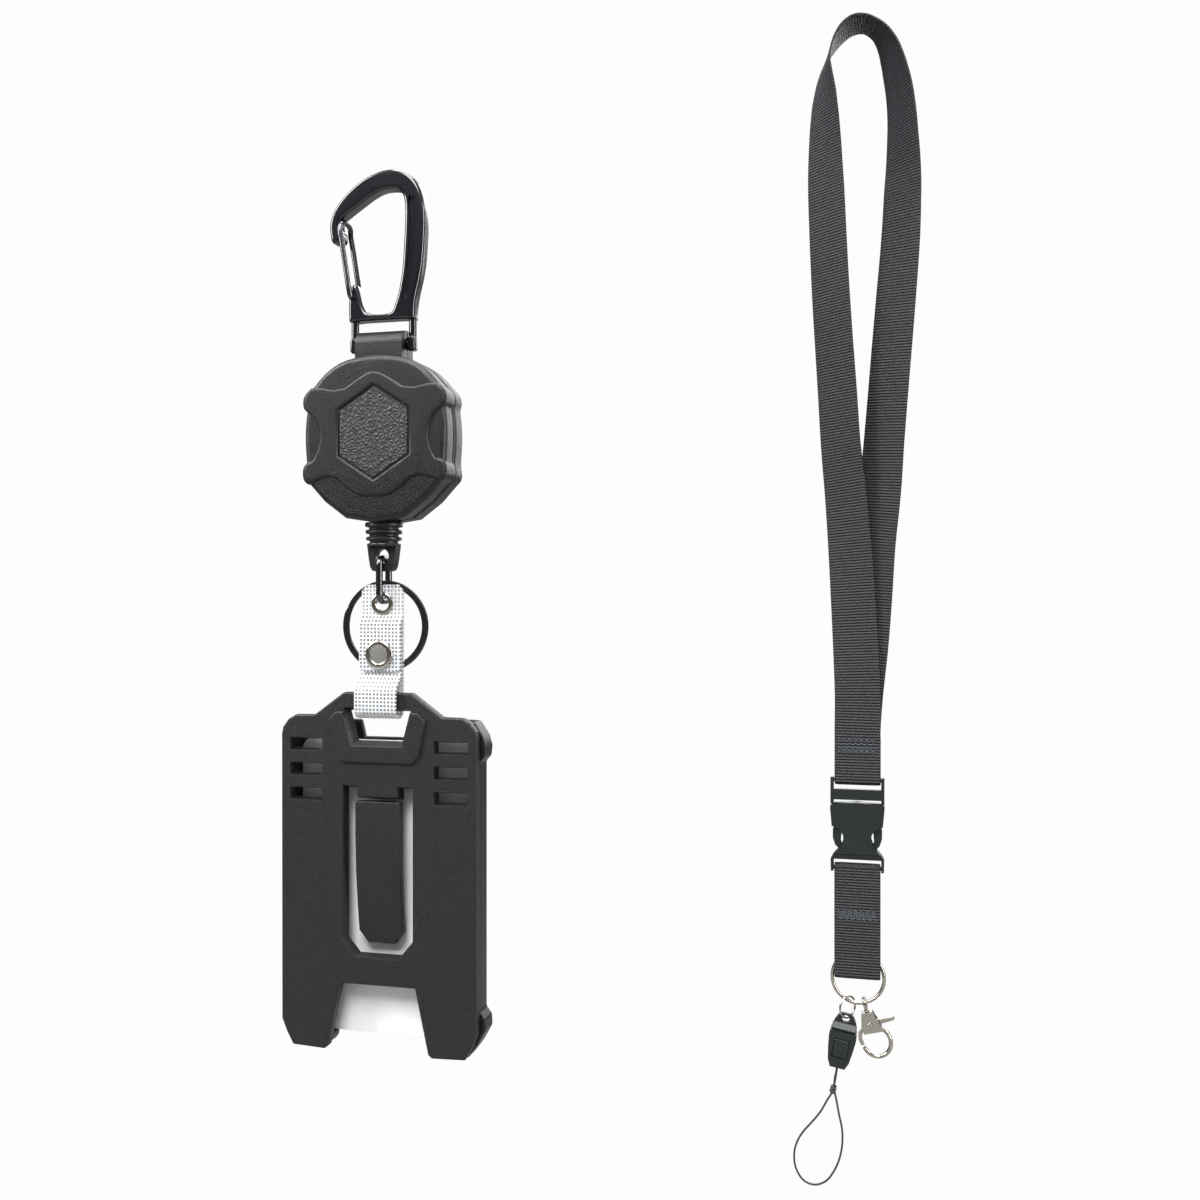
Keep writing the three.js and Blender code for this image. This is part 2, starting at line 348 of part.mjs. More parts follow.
// -------------------------------------------------------------------- holder
const PLATE_HALF = [[-10.4, -145.1], [-11.2, -145.6], [-19.8, -151.8], [-25.9, -151.9], [-28.1, -153.2], [-29.9, -155.6], [-30.3, -157.6], [-30.2, -240.8], [-28.6, -244.6], [-26.6, -248.2], [-16.6, -248.6], [-15.5, -247.6], [-11.5, -229.2]];
const PLATE = [...PLATE_HALF, ...mirror(PLATE_HALF)];
{
  const A = PLATE_FRONT, B = PLATE_BACK, e = 0.05;
  // raised boss round the strap hole
  const boss = [[-12.6, -150.4], [-15.2, -152.8], [-12.8, -163.4], [-10.8, -165.4], [10.8, -165.4], [12.8, -163.4], [15.2, -152.8], [12.6, -150.4]];
  let p = join(
    draftXZ(scaleAbout(PLATE, 0.985, 0, -196), A, PLATE, A + 0.7), prismXZ(PLATE, A + 0.69, B),
    draftXZ(scaleAbout(boss, 0.95, 0, -158), A - 0.8, boss, A + 0.3));
  const hole = (o, i) => draftXZ(o, A - 1.2, i, B + e);
  const strapO = [[-10.4, -150.2], [10.4, -150.2], [7.8, -160.0], [-7.8, -160.0]], strapI = [[-8.8, -150.8], [8.8, -150.8], [6.7, -158.8], [-6.7, -158.8]];
  // plain vent slots, three to a side
  const vents = [];
  for (let i = 0; i < 3; i++) {
    const z = -158.6 - 7.2 * i;
    const o = [[-27.6, z], [-17.2, z], [-17.2, z - 3.6], [-27.6, z - 3.6]], n = [[-26.9, z - 0.6], [-17.9, z - 0.6], [-17.9, z - 3.0], [-26.9, z - 3.0]];
    vents.push(hole(o, n), hole(mirror(o), mirror(n)));
  }
  const slotO = [[-11.1, -171.9], [-7.2, -171.9], [-7.2, -176.0], [7.2, -176.0], [7.2, -171.9], [11.1, -171.9], [11.1, -216.6], [7.0, -221.6], [-7.0, -221.6], [-11.1, -216.6]];
  const slotI = [[-9.9, -173.0], [-7.3, -173.0], [-7.3, -176.1], [7.3, -176.1], [7.3, -173.0], [9.9, -173.0], [9.9, -216.2], [6.3, -220.3], [-6.3, -220.3], [-9.9, -216.2]];
  p = cut(p, hole(strapO, strapI), ...vents, hole(slotO, slotI));
  put('holder_front', p, 'black_plastic');

  // spring finger: rooted under the boss, its free end dips towards the cards
  const side = [[A, -174.6], [A, -186.0], [A + 0.5, -197.0], [A + 1.8, -208.0], [A + 3.3, -217.8], [A + 5.5, -217.8], [A + 4.2, -208.0], [A + 3.1, -197.0], [A + 2.9, -186.0], [A + 3.0, -174.6]];
  const front = [[-6.9, -176.4], [6.9, -176.4], [6.9, -214.2], [4.2, -217.8], [-4.2, -217.8], [-6.9, -214.2]];
  put('spring_finger', prismYZ(side, -9, 9).intersect(prismXZ(front.slice().reverse(), -8, 4)), 'black_plastic');

  // rear frame: side rails, corner ledges, back lip and four corner bumpers
  const backHalf = [[-10.0, -153.6], [-19.8, -153.0], [-25.9, -153.0], [-28.4, -153.2], [-31.0, -157.2], [-31.8, -160.2], [-31.5, -163.0], [-30.0, -164.6], [-30.0, -235.1], [-31.6, -237.2], [-31.8, -240.2], [-29.4, -244.6], [-26.4, -248.6], [-17.4, -248.6], [-16.4, -247.2], [-13.6, -234.0]];
  const fb = B + 0.3;
  let r = prismXZ([...backHalf, ...mirror(backHalf)], fb, HOLDER_BACK);
  r = cut(r, box(-CARD_W / 2 - 0.3, CARD_W / 2 + 0.3, fb - 1, CARD_FRONT + CARD_T + 0.3, CARD_BOTTOM - 0.3, -140),
    prismXZ([[-21, -164], [21, -164], [21, -226], [17, -230], [-17, -230], [-21, -226]].reverse(), 0, 9),
    prismXZ([[-9.4, -150], [9.4, -150], [7.4, -158.6], [-7.4, -158.6]].reverse(), 0, 9));
  put('holder_rear_frame', r, 'black_plastic');
  const c = 3.2, x = CARD_W / 2, z0 = CARD_BOTTOM, z1 = CARD_BOTTOM + CARD_H, k = 0.93;
  put('id_card', prismXZ([[-x + c, z0], [x - c, z0], [x - k, z0 + k], [x, z0 + c], [x, z1 - c], [x - k, z1 - k], [x - c, z1], [-x + c, z1], [-x + k, z1 - k], [-x, z1 - c], [-x, z0 + c], [-x + k, z0 + k]], CARD_FRONT, CARD_FRONT + CARD_T), 'card');
}

// ------------------------------------------------------------------- lanyard
// Everything below is drawn about the neck loop's top and then moved to LAN.
// Left and right legs: [height, centre x, seen width] of the 20 mm webbing.
const LEFT = [[-19.1, -14.2, 5.9], [-32.0, -14.5, 11.2], [-42.7, -14.4, 13.4], [-53.3, -14.2, 14.8], [-64.0, -14.0, 15.8], [-74.7, -13.6, 16.4], [-96.9, -12.7, 16.7], [-119.1, -11.6, 16.9], [-141.3, -10.2, 17.1], [-163.6, -8.7, 17.4], [-185.8, -7.3, 17.6], [-208.0, -5.1, 18.4], [-230.2, -3.3, 19.1], [-252.4, -1.9, 19.5], [-274.7, -0.7, 19.7], [-296.9, 0.2, 19.8], [-312.0, 0.1, 19.8]];
const RIGHT = [[-21.3, 15.6, 9.6], [-32.0, 17.8, 11.0], [-42.7, 18.9, 12.0], [-53.3, 19.3, 13.2], [-64.0, 19.5, 14.6], [-74.7, 19.3, 15.8], [-96.9, 18.4, 16.7], [-119.1, 16.7, 17.2], [-141.3, 14.9, 17.4], [-163.6, 13.1, 17.4], [-185.8, 11.3, 17.6], [-208.0, 9.5, 18.4], [-230.2, 6.9, 19.1], [-252.4, 5.3, 19.5], [-274.7, 3.5, 19.7], [-296.9, 1.1, 19.8], [-312.0, 0.1, 19.8], [-328.6, 0.1, 19.8]];
{
  const st = [];
  const V3 = (x, y, z) => new THREE.Vector3(x, y, z);
  const ang = (w) => Math.acos(Math.min(1, w / 19.8));
  const leg = (rows, yBot, up) => rows.map(([z, x, w]) => {
    const a = ang(w), f = Math.min(1, Math.max(0, (-z - 180) / 110));
    return { c: V3(x, yBot * f, z), a };
  });
  const R = leg(RIGHT, 0.0).reverse(), L = leg(LEFT, -1.9);
  const rows = [...R.map((o) => ({ ...o }))];
  // arch over the neck: the face turns upwards at the top
  const arch = [[13.7, -14.6, 1.14], [11.0, -8.6, 1.26], [7.2, -3.8, 1.42], [2.6, -1.0, 1.53], [-2.0, -1.1, 1.5708], [-6.6, -4.0, 1.54], [-10.5, -9.2, 1.46], [-12.9, -14.4, 1.36]];
  for (const [x, z, a] of arch) rows.push({ c: V3(x, 0, z), a });
  rows.push(...L);
  for (let i = 0; i < rows.length; i++) {
    const a = rows[Math.max(0, i - 1)].c, b = rows[Math.min(rows.length - 1, i + 1)].c;
    const t = b.clone().sub(a).normalize();
    const w = V3(Math.cos(rows[i].a), -Math.sin(rows[i].a), 0);
    w.addScaledVector(t, -w.dot(t)).normalize();
    st.push([rows[i].c, w, w.clone().cross(t).normalize()]);
  }
  // fold round the buckle's top bar and back up behind
  const fold = [[-1.9, -320], [-1.9, -333.7]];
  for (let i = 1; i < 8; i++) { const q = Math.PI * i / 8; fold.push([-1.9 * Math.cos(q), -333.7 - 1.8 * Math.sin(q)]); }
  fold.push([1.9, -333.7], [1.9, -324], [1.9, -314.7]);
  for (let i = 0; i < fold.length; i++) {
    const a = fold[Math.max(0, i - 1)], b = fold[Math.min(fold.length - 1, i + 1)];
    const t = V3(0, b[0] - a[0], b[1] - a[1]).normalize(), w = V3(1, 0, 0);
    st.push([V3(0.1, fold[i][0], fold[i][1]), w, w.clone().cross(t).normalize()]);
  }
  put('neck_strap', webbing(st, WEB_HALF_W, WEB_T), 'webbing', LAN);
}

// ---- side-release buckle
{
  let m = box(-11.6, 11.6, -1.9, 1.9, -344.2, -332.5);
  m = cut(m, box(-10.3, 10.3, -5, 5, -337.7, -330), box(-10.3, 10.3, -5, 5, -343.7, -342.4));
  m = join(m, bar('x', 0.95, -11, 11, [0, -333.7], 12));
  m = join(m, box(-9.4, 9.4, -1.8, 1.8, -347.4, -343.6), box(-1.3, 1.3, -1.2, 1.2, -358, -347));
  put('buckle_male', m, 'buckle', LAN);
  const prong = [[-8.9, -347.8], [-5.9, -347.8], [-6.0, -353.0], [-6.9, -357.0], [-7.2, -360.6], [-6.2, -363.4], [-7.6, -364.2], [-9.5, -362.6], [-10.6, -359.4], [-10.6, -355.6], [-9.6, -352.0]];
  put('buckle_prong_left', prismXZ(prong, -1.7, 1.7), 'buckle', LAN);
  put('buckle_prong_right', prismXZ(mirror(prong), -1.7, 1.7), 'buckle', LAN);
  const half = [[-11.4, -373.8], [-11.5, -368.6], [-10.4, -366.6], [-8.4, -364.4], [-6.9, -362.4], [-6.0, -360.0], [-6.0, -358.2], [-6.9, -356.2], [-8.6, -354.8], [-11.0, -353.9], [-11.7, -346.0], [-11.5, -344.7], [-6.0, -343.8], [0, -343.4]];
  const out = [...half, ...mirror(half.slice(0, -1))];
  let f = prismXZ(out.slice().reverse(), -3.1, 3.1);
  f = cut(f, box(-10.9, 10.9, -2.1, 2.1, -354.6, -340), prismXZ([[-10.9, -354.4], [10.9, -354.4], [10.9, -358], [8.4, -365.0], [-8.4, -365.0], [-10.9, -358]].reverse(), -2.1, 2.1),
    box(-10.3, 10.3, -5, 5, -376, -368.5), prismYZ([[-6, -343], [-3.1, -350], [-2.4, -366], [-2.0, -374.5], [-6, -374.5]], -13, 13).intersect(box(-13, 13, -6, -2.5, -376, -366)),
    box(-13, 13, 2.4, 6, -376, -367.5), box(-13, 13, -6, -2.4, -376, -367.5));
  f = join(f, bar('x', 0.95, -11, 11, [0, -372.4], 12));
  put('buckle_female', f, 'buckle', LAN);
}
// ---- lower strap: one length of webbing sewn into a loop round the bar and the ring
{
  const prof = (o) => {
    const p = [];
    for (let i = 0; i <= 8; i++) { const a = Math.PI * i / 8; p.push([(1.9 + o) * Math.cos(a), -372.4 + (1.7 + o) * Math.sin(a)]); }
    for (let i = 0; i <= 8; i++) { const a = Math.PI + Math.PI * i / 8; p.push([(1.9 + o) * Math.cos(a), -419.1 + (1.7 + o) * Math.sin(a)]); }
    return p;
  };
  put('lower_strap', cut(prismYZ(prof(0.5), -WEB_HALF_W, WEB_HALF_W), prismYZ(prof(-0.5), -12, 12)), 'webbing', LAN);
}
put('strap_ring', turned('y', ringProfile(RING_R, RING_WIRE), RING_C, 36, true), 'nickel', LAN);

// ---- trigger hook, hanging along a radius of the ring
{
  const tilt = 14.5 * Math.PI / 180;
  const P0 = [RING_C[0] + RING_R * Math.sin(tilt), RING_C[1] - RING_R * Math.cos(tilt)];
  // local axes: u across, s down the hook; a local point [u, s] is drawn at x = u, z = -s
  const place = (name, m, mat) => {
    const g = geom(m);
    g.rotateY(-tilt); g.translate(P0[0], 0, P0[1]);
    put(name, g, mat, LAN);
  };
  const loop = cut(prismYZ([...Array(16).keys()].map((i) => { const a = i / 16 * 2 * Math.PI; return [3.1 * Math.cos(a), -0.5 + 3.1 * Math.sin(a)]; }), -0.6, 0.6),
    prismYZ([...Array(16).keys()].map((i) => { const a = i / 16 * 2 * Math.PI; return [1.8 * Math.cos(a), -0.5 + 1.8 * Math.sin(a)]; }), -3, 3));
  place('hook_swivel', join(loop, bar('z', 1.0, -5.6, -3.2, [0, 0], 12), bar('z', 1.5, -6.3, -5.5, [0, 0], 12)), 'nickel');
  let b = prismXZ([[-2.4, -3.9], [-3.2, -7.0], [-3.8, -9.6], [-3.4, -13.0], [4.8, -13.0], [4.4, -9.6], [3.2, -7.0], [2.4, -3.9]], -2.3, 2.3);
  b = cut(b, box(-6, 6, -1.15, 1.15, -11.0, -6.4), box(-6, 2.5, -1.15, 1.15, -14, -10.9),
    bar('z', 1.3, -5.3, -2, [0, 0], 12), bar('z', 1.85, -7.6, -5.15, [0, 0], 12), bar('y', 1.0, -3, 3, [0, -9.6], 12));
  const pts = [];
  for (let i = 0; i <= 12; i++) { const a = (58 - i * 18.8) * Math.PI / 180; pts.push([0.9 + 6.0 * Math.cos(a), 0, -17.6 + 6.4 * Math.sin(a)]); }
  const hook = solid(wire([[3.6, 0, -11.6], ...pts], 0.95, 30, 8));
  place('hook_body', join(b, hook), 'nickel');
  const lever = join(
    prismXZ([[-1.9, -8.2], [-1.9, -10.6], [-1.0, -11.4], [0.6, -11.3], [1.7, -10.4], [10.4, -9.4], [11.0, -8.8], [10.4, -7.9], [1.4, -8.0], [0.4, -7.9], [-1.0, -7.9]], -0.8, 0.8),
    prismXZ([[-1.6, -9.6], [-2.2, -11.0], [-4.6, -13.4], [-5.0, -15.6], [-4.6, -17.8], [-6.0, -17.8], [-6.6, -15.2], [-5.9, -12.4], [-3.2, -9.8]].reverse(), -0.8, 0.8));
  place('hook_lever', cut(lever, bar('y', 1.0, -3, 3, [0, -9.6], 12)), 'nickel');
  place('hook_rivet', join(bar('y', 0.7, -2.7, 2.7, [0, -9.6], 12), bar('y', 1.3, -3.0, -2.5, [0, -9.6], 12), bar('y', 1.3, 2.5, 3.0, [0, -9.6], 12)), 'nickel');
}
// ---- thin split ring and two-part connector
const TH = -24 * Math.PI / 180;
const SMALL = { R: 4.7, r: 0.45, turn: 50 * Math.PI / 180, c: [RING_C[0] + RING_R * Math.sin(TH), 0, RING_C[1] - RING_R * Math.cos(TH) + 1.6 - 4.7] };
{
  const g = geom(turned('y', ringProfile(SMALL.R, SMALL.r, 8), [0, 0], 24, true));
  g.rotateZ(SMALL.turn); g.translate(...SMALL.c);
  put('small_ring', g, 'nickel', LAN);
}
const TILT = 10 * Math.PI / 180;
const Q = 258 * Math.PI / 180;
const HOLE = [SMALL.c[0] + SMALL.R * Math.cos(Q) * Math.cos(SMALL.turn), SMALL.R * Math.cos(Q) * Math.sin(SMALL.turn), SMALL.c[2] + SMALL.R * Math.sin(Q) - 0.35];
{
  const place = (name, m, mat) => { const g = geom(m); g.rotateY(TILT); g.translate(...HOLE); put(name, g, mat, LAN); };
  const capHalf = [[-1.6, 2.6], [-3.3, 1.5], [-4.6, -1.0], [-5.3, -3.2], [-5.4, -5.0]];
  let cap = prismXZ([...capHalf, ...mirror(capHalf)], -2.7, 2.7);
  cap = cut(cap, prismYZ([[-4, 4], [-0.8, 4], [-0.9, -1.9], [-2.8, -4.4], [-4, -4.4]], -7, 7), prismYZ([[4, 4], [4, -4.4], [2.8, -4.4], [0.9, -1.9], [0.8, 4]], -7, 7),
    bar('y', 1.6, -4, 4, [0, 0], 14));
  cap = join(cap, box(-2.6, 2.6, -1.0, 1.0, -15.0, -4.6));
  place('connector_cap', cap, 'buckle');
  place('connector_button', box(-3.1, 3.1, -3.2, -1.9, -16.6, -9.0), 'buckle');
  const half = [[-3.2, -21.7], [-4.6, -18.6], [-5.5, -12.5], [-5.95, -8.0], [-5.8, -5.3]];
  let body = prismXZ([...half, ...mirror(half)].reverse(), -3.2, 3.2).intersect(prismYZ([[-3.0, -5], [-3.0, -12], [-2.25, -22], [2.25, -22], [3.0, -12], [3.0, -5]], -8, 8));
  body = cut(body, box(-2.95, 2.95, -1.35, 1.35, -16.2, -4), box(-3.45, 3.45, -5, -1.3, -17.0, -8.6),
    box(-0.8, 0.8, -1.35, 1.35, -23, -18.4));
  place('connector_body', body, 'buckle');
}
// ---- phone string: one cord out of the connector, knotted, round the loop and back
{
  const y = HOLE[1], e = 0.56;
  const loop = [[-13.0, -475.6], [-16.1, -481.3], [-20.0, -486.4], [-23.6, -490.8], [-26.2, -495.4], [-27.5, -500.4], [-26.9, -507.0], [-23.4, -512.4], [-18.6, -513.8], [-13.6, -511.6], [-9.9, -506.4], [-7.6, -500.6], [-6.5, -494.4], [-6.6, -488.0], [-7.9, -481.6]]
    .map((p) => [p[0], y, p[1]]);
  const path = [[-8.35, y - e, -458.6], [-8.85, y - e, -461.6], [-9.4, y - e, -465.6], [-10.3, y - e, -469.6], [-11.3, y - e, -472.6], ...loop, [-9.2, y + e, -475.0], [-10.0, y + e, -471.0], [-9.9, y + e, -466.6], [-8.95, y + e, -461.8], [-8.35, y + e, -458.6]];
  put('string_loop', wire(path, 0.45, 78, 8, 'centripetal'), 'cord', LAN);
}

export default root;
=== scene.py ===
import json
import math

import bmesh
import bpy
from mathutils import Matrix, Vector


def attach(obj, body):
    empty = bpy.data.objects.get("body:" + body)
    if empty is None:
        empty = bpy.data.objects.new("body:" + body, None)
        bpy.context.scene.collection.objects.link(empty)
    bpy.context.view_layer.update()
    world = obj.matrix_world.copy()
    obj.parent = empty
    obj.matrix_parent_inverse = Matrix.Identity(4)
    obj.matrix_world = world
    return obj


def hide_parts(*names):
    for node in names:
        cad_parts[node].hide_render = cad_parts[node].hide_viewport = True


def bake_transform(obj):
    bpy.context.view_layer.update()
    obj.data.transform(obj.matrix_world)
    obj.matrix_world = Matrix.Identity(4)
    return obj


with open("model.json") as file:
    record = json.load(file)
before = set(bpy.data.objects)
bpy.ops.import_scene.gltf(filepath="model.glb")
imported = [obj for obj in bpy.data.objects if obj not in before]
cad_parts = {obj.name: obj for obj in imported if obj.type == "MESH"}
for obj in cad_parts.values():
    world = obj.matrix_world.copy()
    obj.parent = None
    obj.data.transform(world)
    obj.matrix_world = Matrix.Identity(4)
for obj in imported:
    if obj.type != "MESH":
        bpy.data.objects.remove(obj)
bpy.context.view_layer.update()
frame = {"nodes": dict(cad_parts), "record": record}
nodes = frame["nodes"]

MM = 0.001
LAN = Vector((124.0, 225.0, 136.0))          # top of the neck loop, mm
EYE = Vector((-4.884, -0.749, -438.979))     # connector's hole, from the neck loop's top


# ------------------------------------------------------------------ camera
def make_camera():
    az = math.radians(14.4)
    r = Vector((math.cos(az), math.sin(az), 0.0))
    f = Vector((-math.sin(az), math.cos(az), 0.0))
    pos = (62.7 * r - 362.0 * f) * MM + Vector((0, 0, -0.1185))
    cam = bpy.data.cameras.new("camera")
    cam.sensor_width = 36.0
    cam.angle = math.radians(51.4)
    ob = bpy.data.objects.new("camera", cam)
    bpy.context.collection.objects.link(ob)
    ob.location = pos
    ob.rotation_euler = f.to_track_quat("-Z", "Y").to_euler()
    cam.clip_start = 0.01
    bpy.context.scene.camera = ob


make_camera()


# ------------------------------------------------------------------ shaders
def lin(c):
    return tuple((v / 12.92 if v <= 0.04045 else ((v + 0.055) / 1.055) ** 2.4) for v in c)


def rgb(r, g, b):
    return (*lin((r / 255, g / 255, b / 255)), 1.0)


class Mat:
    """A small node-tree builder round one Principled shader."""

    def __init__(self, name, color, rough, metal=0.0, **sockets):
        self.m = bpy.data.materials.new(name)
        self.m.use_nodes = True
        self.t = self.m.node_tree
        self.b = self.t.nodes["Principled BSDF"]
        self.b.inputs["Base Color"].default_value = color
        self.b.inputs["Roughness"].default_value = rough
        self.b.inputs["Metallic"].default_value = metal
        for k, v in sockets.items():
            self.b.inputs[k.replace("_", " ")].default_value = v
        self.normal = None

    def node(self, kind, **props):
        n = self.t.nodes.new(kind)
        for k, v in props.items():
            setattr(n, k, v)
        return n

    def link(self, a, b):
        self.t.links.new(a, b)

    def coords(self, scale=(1, 1, 1)):
        c = self.node("ShaderNodeTexCoord")
        m = self.node("ShaderNodeMapping")
        m.inputs["Scale"].default_value = scale
        self.link(c.outputs["Object"], m.inputs["Vector"])
        return m.outputs["Vector"]

    def attr(self, name):
        return self.node("ShaderNodeAttribute", attribute_name=name).outputs["Fac"]

    def math(self, op, a, b=0.5, c=None):
        n = self.node("ShaderNodeMath", operation=op)
        for i, v in enumerate((a, b, c)):
            if v is None:
                continue
            if isinstance(v, (int, float)):
                n.inputs[i].default_value = v
            else:
                self.link(v, n.inputs[i])
        return n.outputs[0]

    def noise(self, vec, scale, detail=2.0, rough=0.5):
        n = self.node("ShaderNodeTexNoise")
        n.inputs["Scale"].default_value = scale
        n.inputs["Detail"].default_value = detail
        n.inputs["Roughness"].default_value = rough
        self.link(vec, n.inputs["Vector"])
        return n.outputs["Fac"]

    def bump(self, height, strength=0.4, distance=0.0002):
        n = self.node("ShaderNodeBump")
        n.inputs["Strength"].default_value = strength
        n.inputs["Distance"].default_value = distance
        self.link(height, n.inputs["Height"])
        if self.normal is not None:
            self.link(self.normal, n.inputs["Normal"])
        self.normal = n.outputs["Normal"]
        self.link(self.normal, self.b.inputs["Normal"])

    def ramp(self, fac, stops, socket="Base Color"):
        n = self.node("ShaderNodeValToRGB")
        n.color_ramp.elements[0].position, n.color_ramp.elements[0].color = stops[0]
        n.color_ramp.elements[1].position, n.color_ramp.elements[1].color = stops[-1]
        for p, c in stops[1:-1]:
            n.color_ramp.elements.new(p).color = c
        self.link(fac, n.inputs["Fac"])
        if socket:
            self.link(n.outputs["Color"], self.b.inputs[socket])
        return n.outputs["Color"]

    def rough(self, fac, lo, hi):
        n = self.node("ShaderNodeMapRange")
        n.inputs["To Min"].default_value = lo
        n.inputs["To Max"].default_value = hi
        self.link(fac, n.inputs["Value"])
        self.link(n.outputs["Result"], self.b.inputs["Roughness"])


def grained(name, color, lighter, rough, scale=4200, strength=0.5, dist=0.00006, coat=0.0):
    """Moulded plastic with a fine spark-eroded grain."""
    m = Mat(name, color, rough, Coat_Weight=coat, Coat_Roughness=0.15)
    v = m.coords()
    n = m.noise(v, scale, 3.0, 0.6)
    m.ramp(n, [(0.35, color), (0.75, lighter)])
    m.rough(m.noise(v, scale * 0.5, 2.0), rough - 0.1, rough + 0.12)
    m.bump(n, strength, dist)
    return m


def polished(name, color, rough, scale=90):
    m = Mat(name, color, rough, 1.0)
    v = m.coords()
    m.rough(m.noise(v, scale, 4.0, 0.6), max(0.03, rough - 0.05), rough + 0.08)
    m.bump(m.noise(v, scale * 3, 2.0), 0.05, 0.00005)
    return m


M = {}
M["gloss_black"] = Mat("gloss_black", rgb(9, 12, 18), 0.16, 0.0, Coat_Weight=0.6, Coat_Roughness=0.06)
_v = M["gloss_black"].coords()
M["gloss_black"].rough(M["gloss_black"].noise(_v, 60, 3.0), 0.1, 0.24)
M["gloss_black"].bump(M["gloss_black"].noise(_v, 160, 2.0), 0.06, 0.0001)
M["plate"] = grained("plate_grain", rgb(9, 9, 10), rgb(32, 32, 33), 0.44, 2400, 0.9, 0.00016)
M["frame"] = grained("frame_plastic", rgb(10, 10, 11), rgb(22, 22, 23), 0.38, 2200, 0.25, 0.00004)
M["case"] = grained("case_grain", rgb(3, 3, 4), rgb(12, 12, 13), 0.36, 2600, 0.8, 0.00014)
M["cord_end"] = grained("cord_end_rubber", rgb(10, 10, 11), rgb(24, 24, 25), 0.42, 2600, 0.3, 0.00005)
M["buckle"] = grained("buckle_plastic", rgb(16, 21, 21), rgb(28, 34, 34), 0.36, 1600, 0.25, 0.00004)
M["nylon"] = grained("natural_nylon", rgb(205, 205, 196), rgb(222, 222, 214), 0.45, 900, 0.1, 0.00004)
M["gunmetal"] = polished("gunmetal", rgb(92, 92, 95), 0.2)
M["nickel"] = polished("nickel", rgb(182, 176, 166), 0.18)
M["zinc"] = polished("zinc", rgb(150, 150, 148), 0.32)
M["spring_steel"] = polished("spring_steel", rgb(140, 141, 144), 0.28)
M["card"] = Mat("blank_card", rgb(242, 242, 241), 0.32)
_v = M["card"].coords()
M["card"].rough(M["card"].noise(_v, 300, 2.0), 0.28, 0.38)

# pebbled inlay
m = Mat("inlay_pebble", rgb(26, 27, 30), 0.55)
v = m.coords()
vor = m.node("ShaderNodeTexVoronoi", feature="DISTANCE_TO_EDGE")
vor.inputs["Scale"].default_value = 850
m.link(v, vor.inputs["Vector"])
m.ramp(vor.outputs["Distance"], [(0.0, rgb(8, 8, 9)), (0.25, rgb(40, 40, 44))])
m.bump(vor.outputs["Distance"], 1.0, 0.0005)
M["inlay"] = m

# ribbed webbing: u runs across and w along, in mm
m = Mat("ribbed_webbing", rgb(22, 26, 31), 0.55, Sheen_Weight=0.1, Sheen_Roughness=0.35)
m.b.inputs["Sheen Tint"].default_value = rgb(150, 158, 175)
rib = m.math("SINE", m.math("MULTIPLY", m.attr("w"), 2 * math.pi / 1.25))
rib = m.math("MULTIPLY_ADD", rib, 0.5, 0.5)
yarn = m.math("SINE", m.math("MULTIPLY", m.attr("u"), 2 * math.pi / 0.55))
yarn = m.math("MULTIPLY_ADD", yarn, 0.5, 0.5)
edge = m.math("ABSOLUTE", m.attr("u"))
edge = m.math("GREATER_THAN", edge, 9.0)
h = m.math("MULTIPLY", rib, m.math("MULTIPLY_ADD", yarn, 0.35, 0.65))
v = m.coords()
fuzz = m.noise(v, 1500, 3.0)
h2 = m.math("MULTIPLY_ADD", fuzz, 0.25, h)
m.ramp(h2, [(0.05, rgb(2, 3, 5)), (0.6, rgb(8, 11, 15)), (1.0, rgb(18, 22, 29))])
m.bump(h2, 1.0, 0.0004)
M["webbing"] = m

# stitching thread
m = Mat("thread", rgb(64, 70, 80), 0.5, Sheen_Weight=0.4)
v = m.coords()
m.bump(m.noise(v, 3000, 2.0), 0.5, 0.0001)
M["thread"] = m

# braided cord
m = Mat("braided_cord", rgb(14, 14, 16), 0.7, Sheen_Weight=0.3)
v = m.coords((1, 1, 1))
w1 = m.node("ShaderNodeTexWave", wave_type="BANDS", bands_direction="DIAGONAL")
w1.inputs["Scale"].default_value = 900
m.link(v, w1.inputs["Vector"])
m.ramp(w1.outputs["Fac"], [(0.1, rgb(6, 6, 8)), (0.9, rgb(36, 36, 40))])
m.bump(w1.outputs["Fac"], 0.7, 0.00012)
M["cord"] = m

# clear sheet over an open woven mesh
m = Mat("vinyl_mesh", rgb(228, 230, 232), 0.2, Coat_Weight=0.6, Coat_Roughness=0.08)
v = m.coords()
sep = m.node("ShaderNodeSeparateXYZ")
m.link(v, sep.inputs[0])


def grid(axis, pitch, sharp):
    s = m.math("SINE", m.math("MULTIPLY", axis, 2 * math.pi / pitch))
    return m.math("POWER", m.math("MULTIPLY_ADD", s, 0.5, 0.5), sharp)


gx = grid(sep.outputs["X"], 0.0011, 2.2)
gz = grid(sep.outputs["Z"], 0.0011, 2.2)
thread = m.math("MAXIMUM", gx, gz)
m.ramp(thread, [(0.15, rgb(150, 154, 158)), (0.6, rgb(226, 228, 230))])
alpha = m.node("ShaderNodeMapRange")
alpha.inputs["From Min"].default_value = 0.15
alpha.inputs["From Max"].default_value = 0.6
alpha.inputs["To Min"].default_value = 0.3
alpha.inputs["To Max"].default_value = 0.9
m.link(thread, alpha.inputs["Value"])
m.link(alpha.outputs["Result"], m.b.inputs["Alpha"])
m.bump(thread, 0.5, 0.00012)
M["vinyl"] = m
# snap's centre
m = Mat("snap_centre", rgb(176, 176, 173), 0.34, 0.85)
v = m.coords()
m.bump(m.noise(v, 2500, 2.0), 0.5, 0.0001)
M["snap_centre"] = m


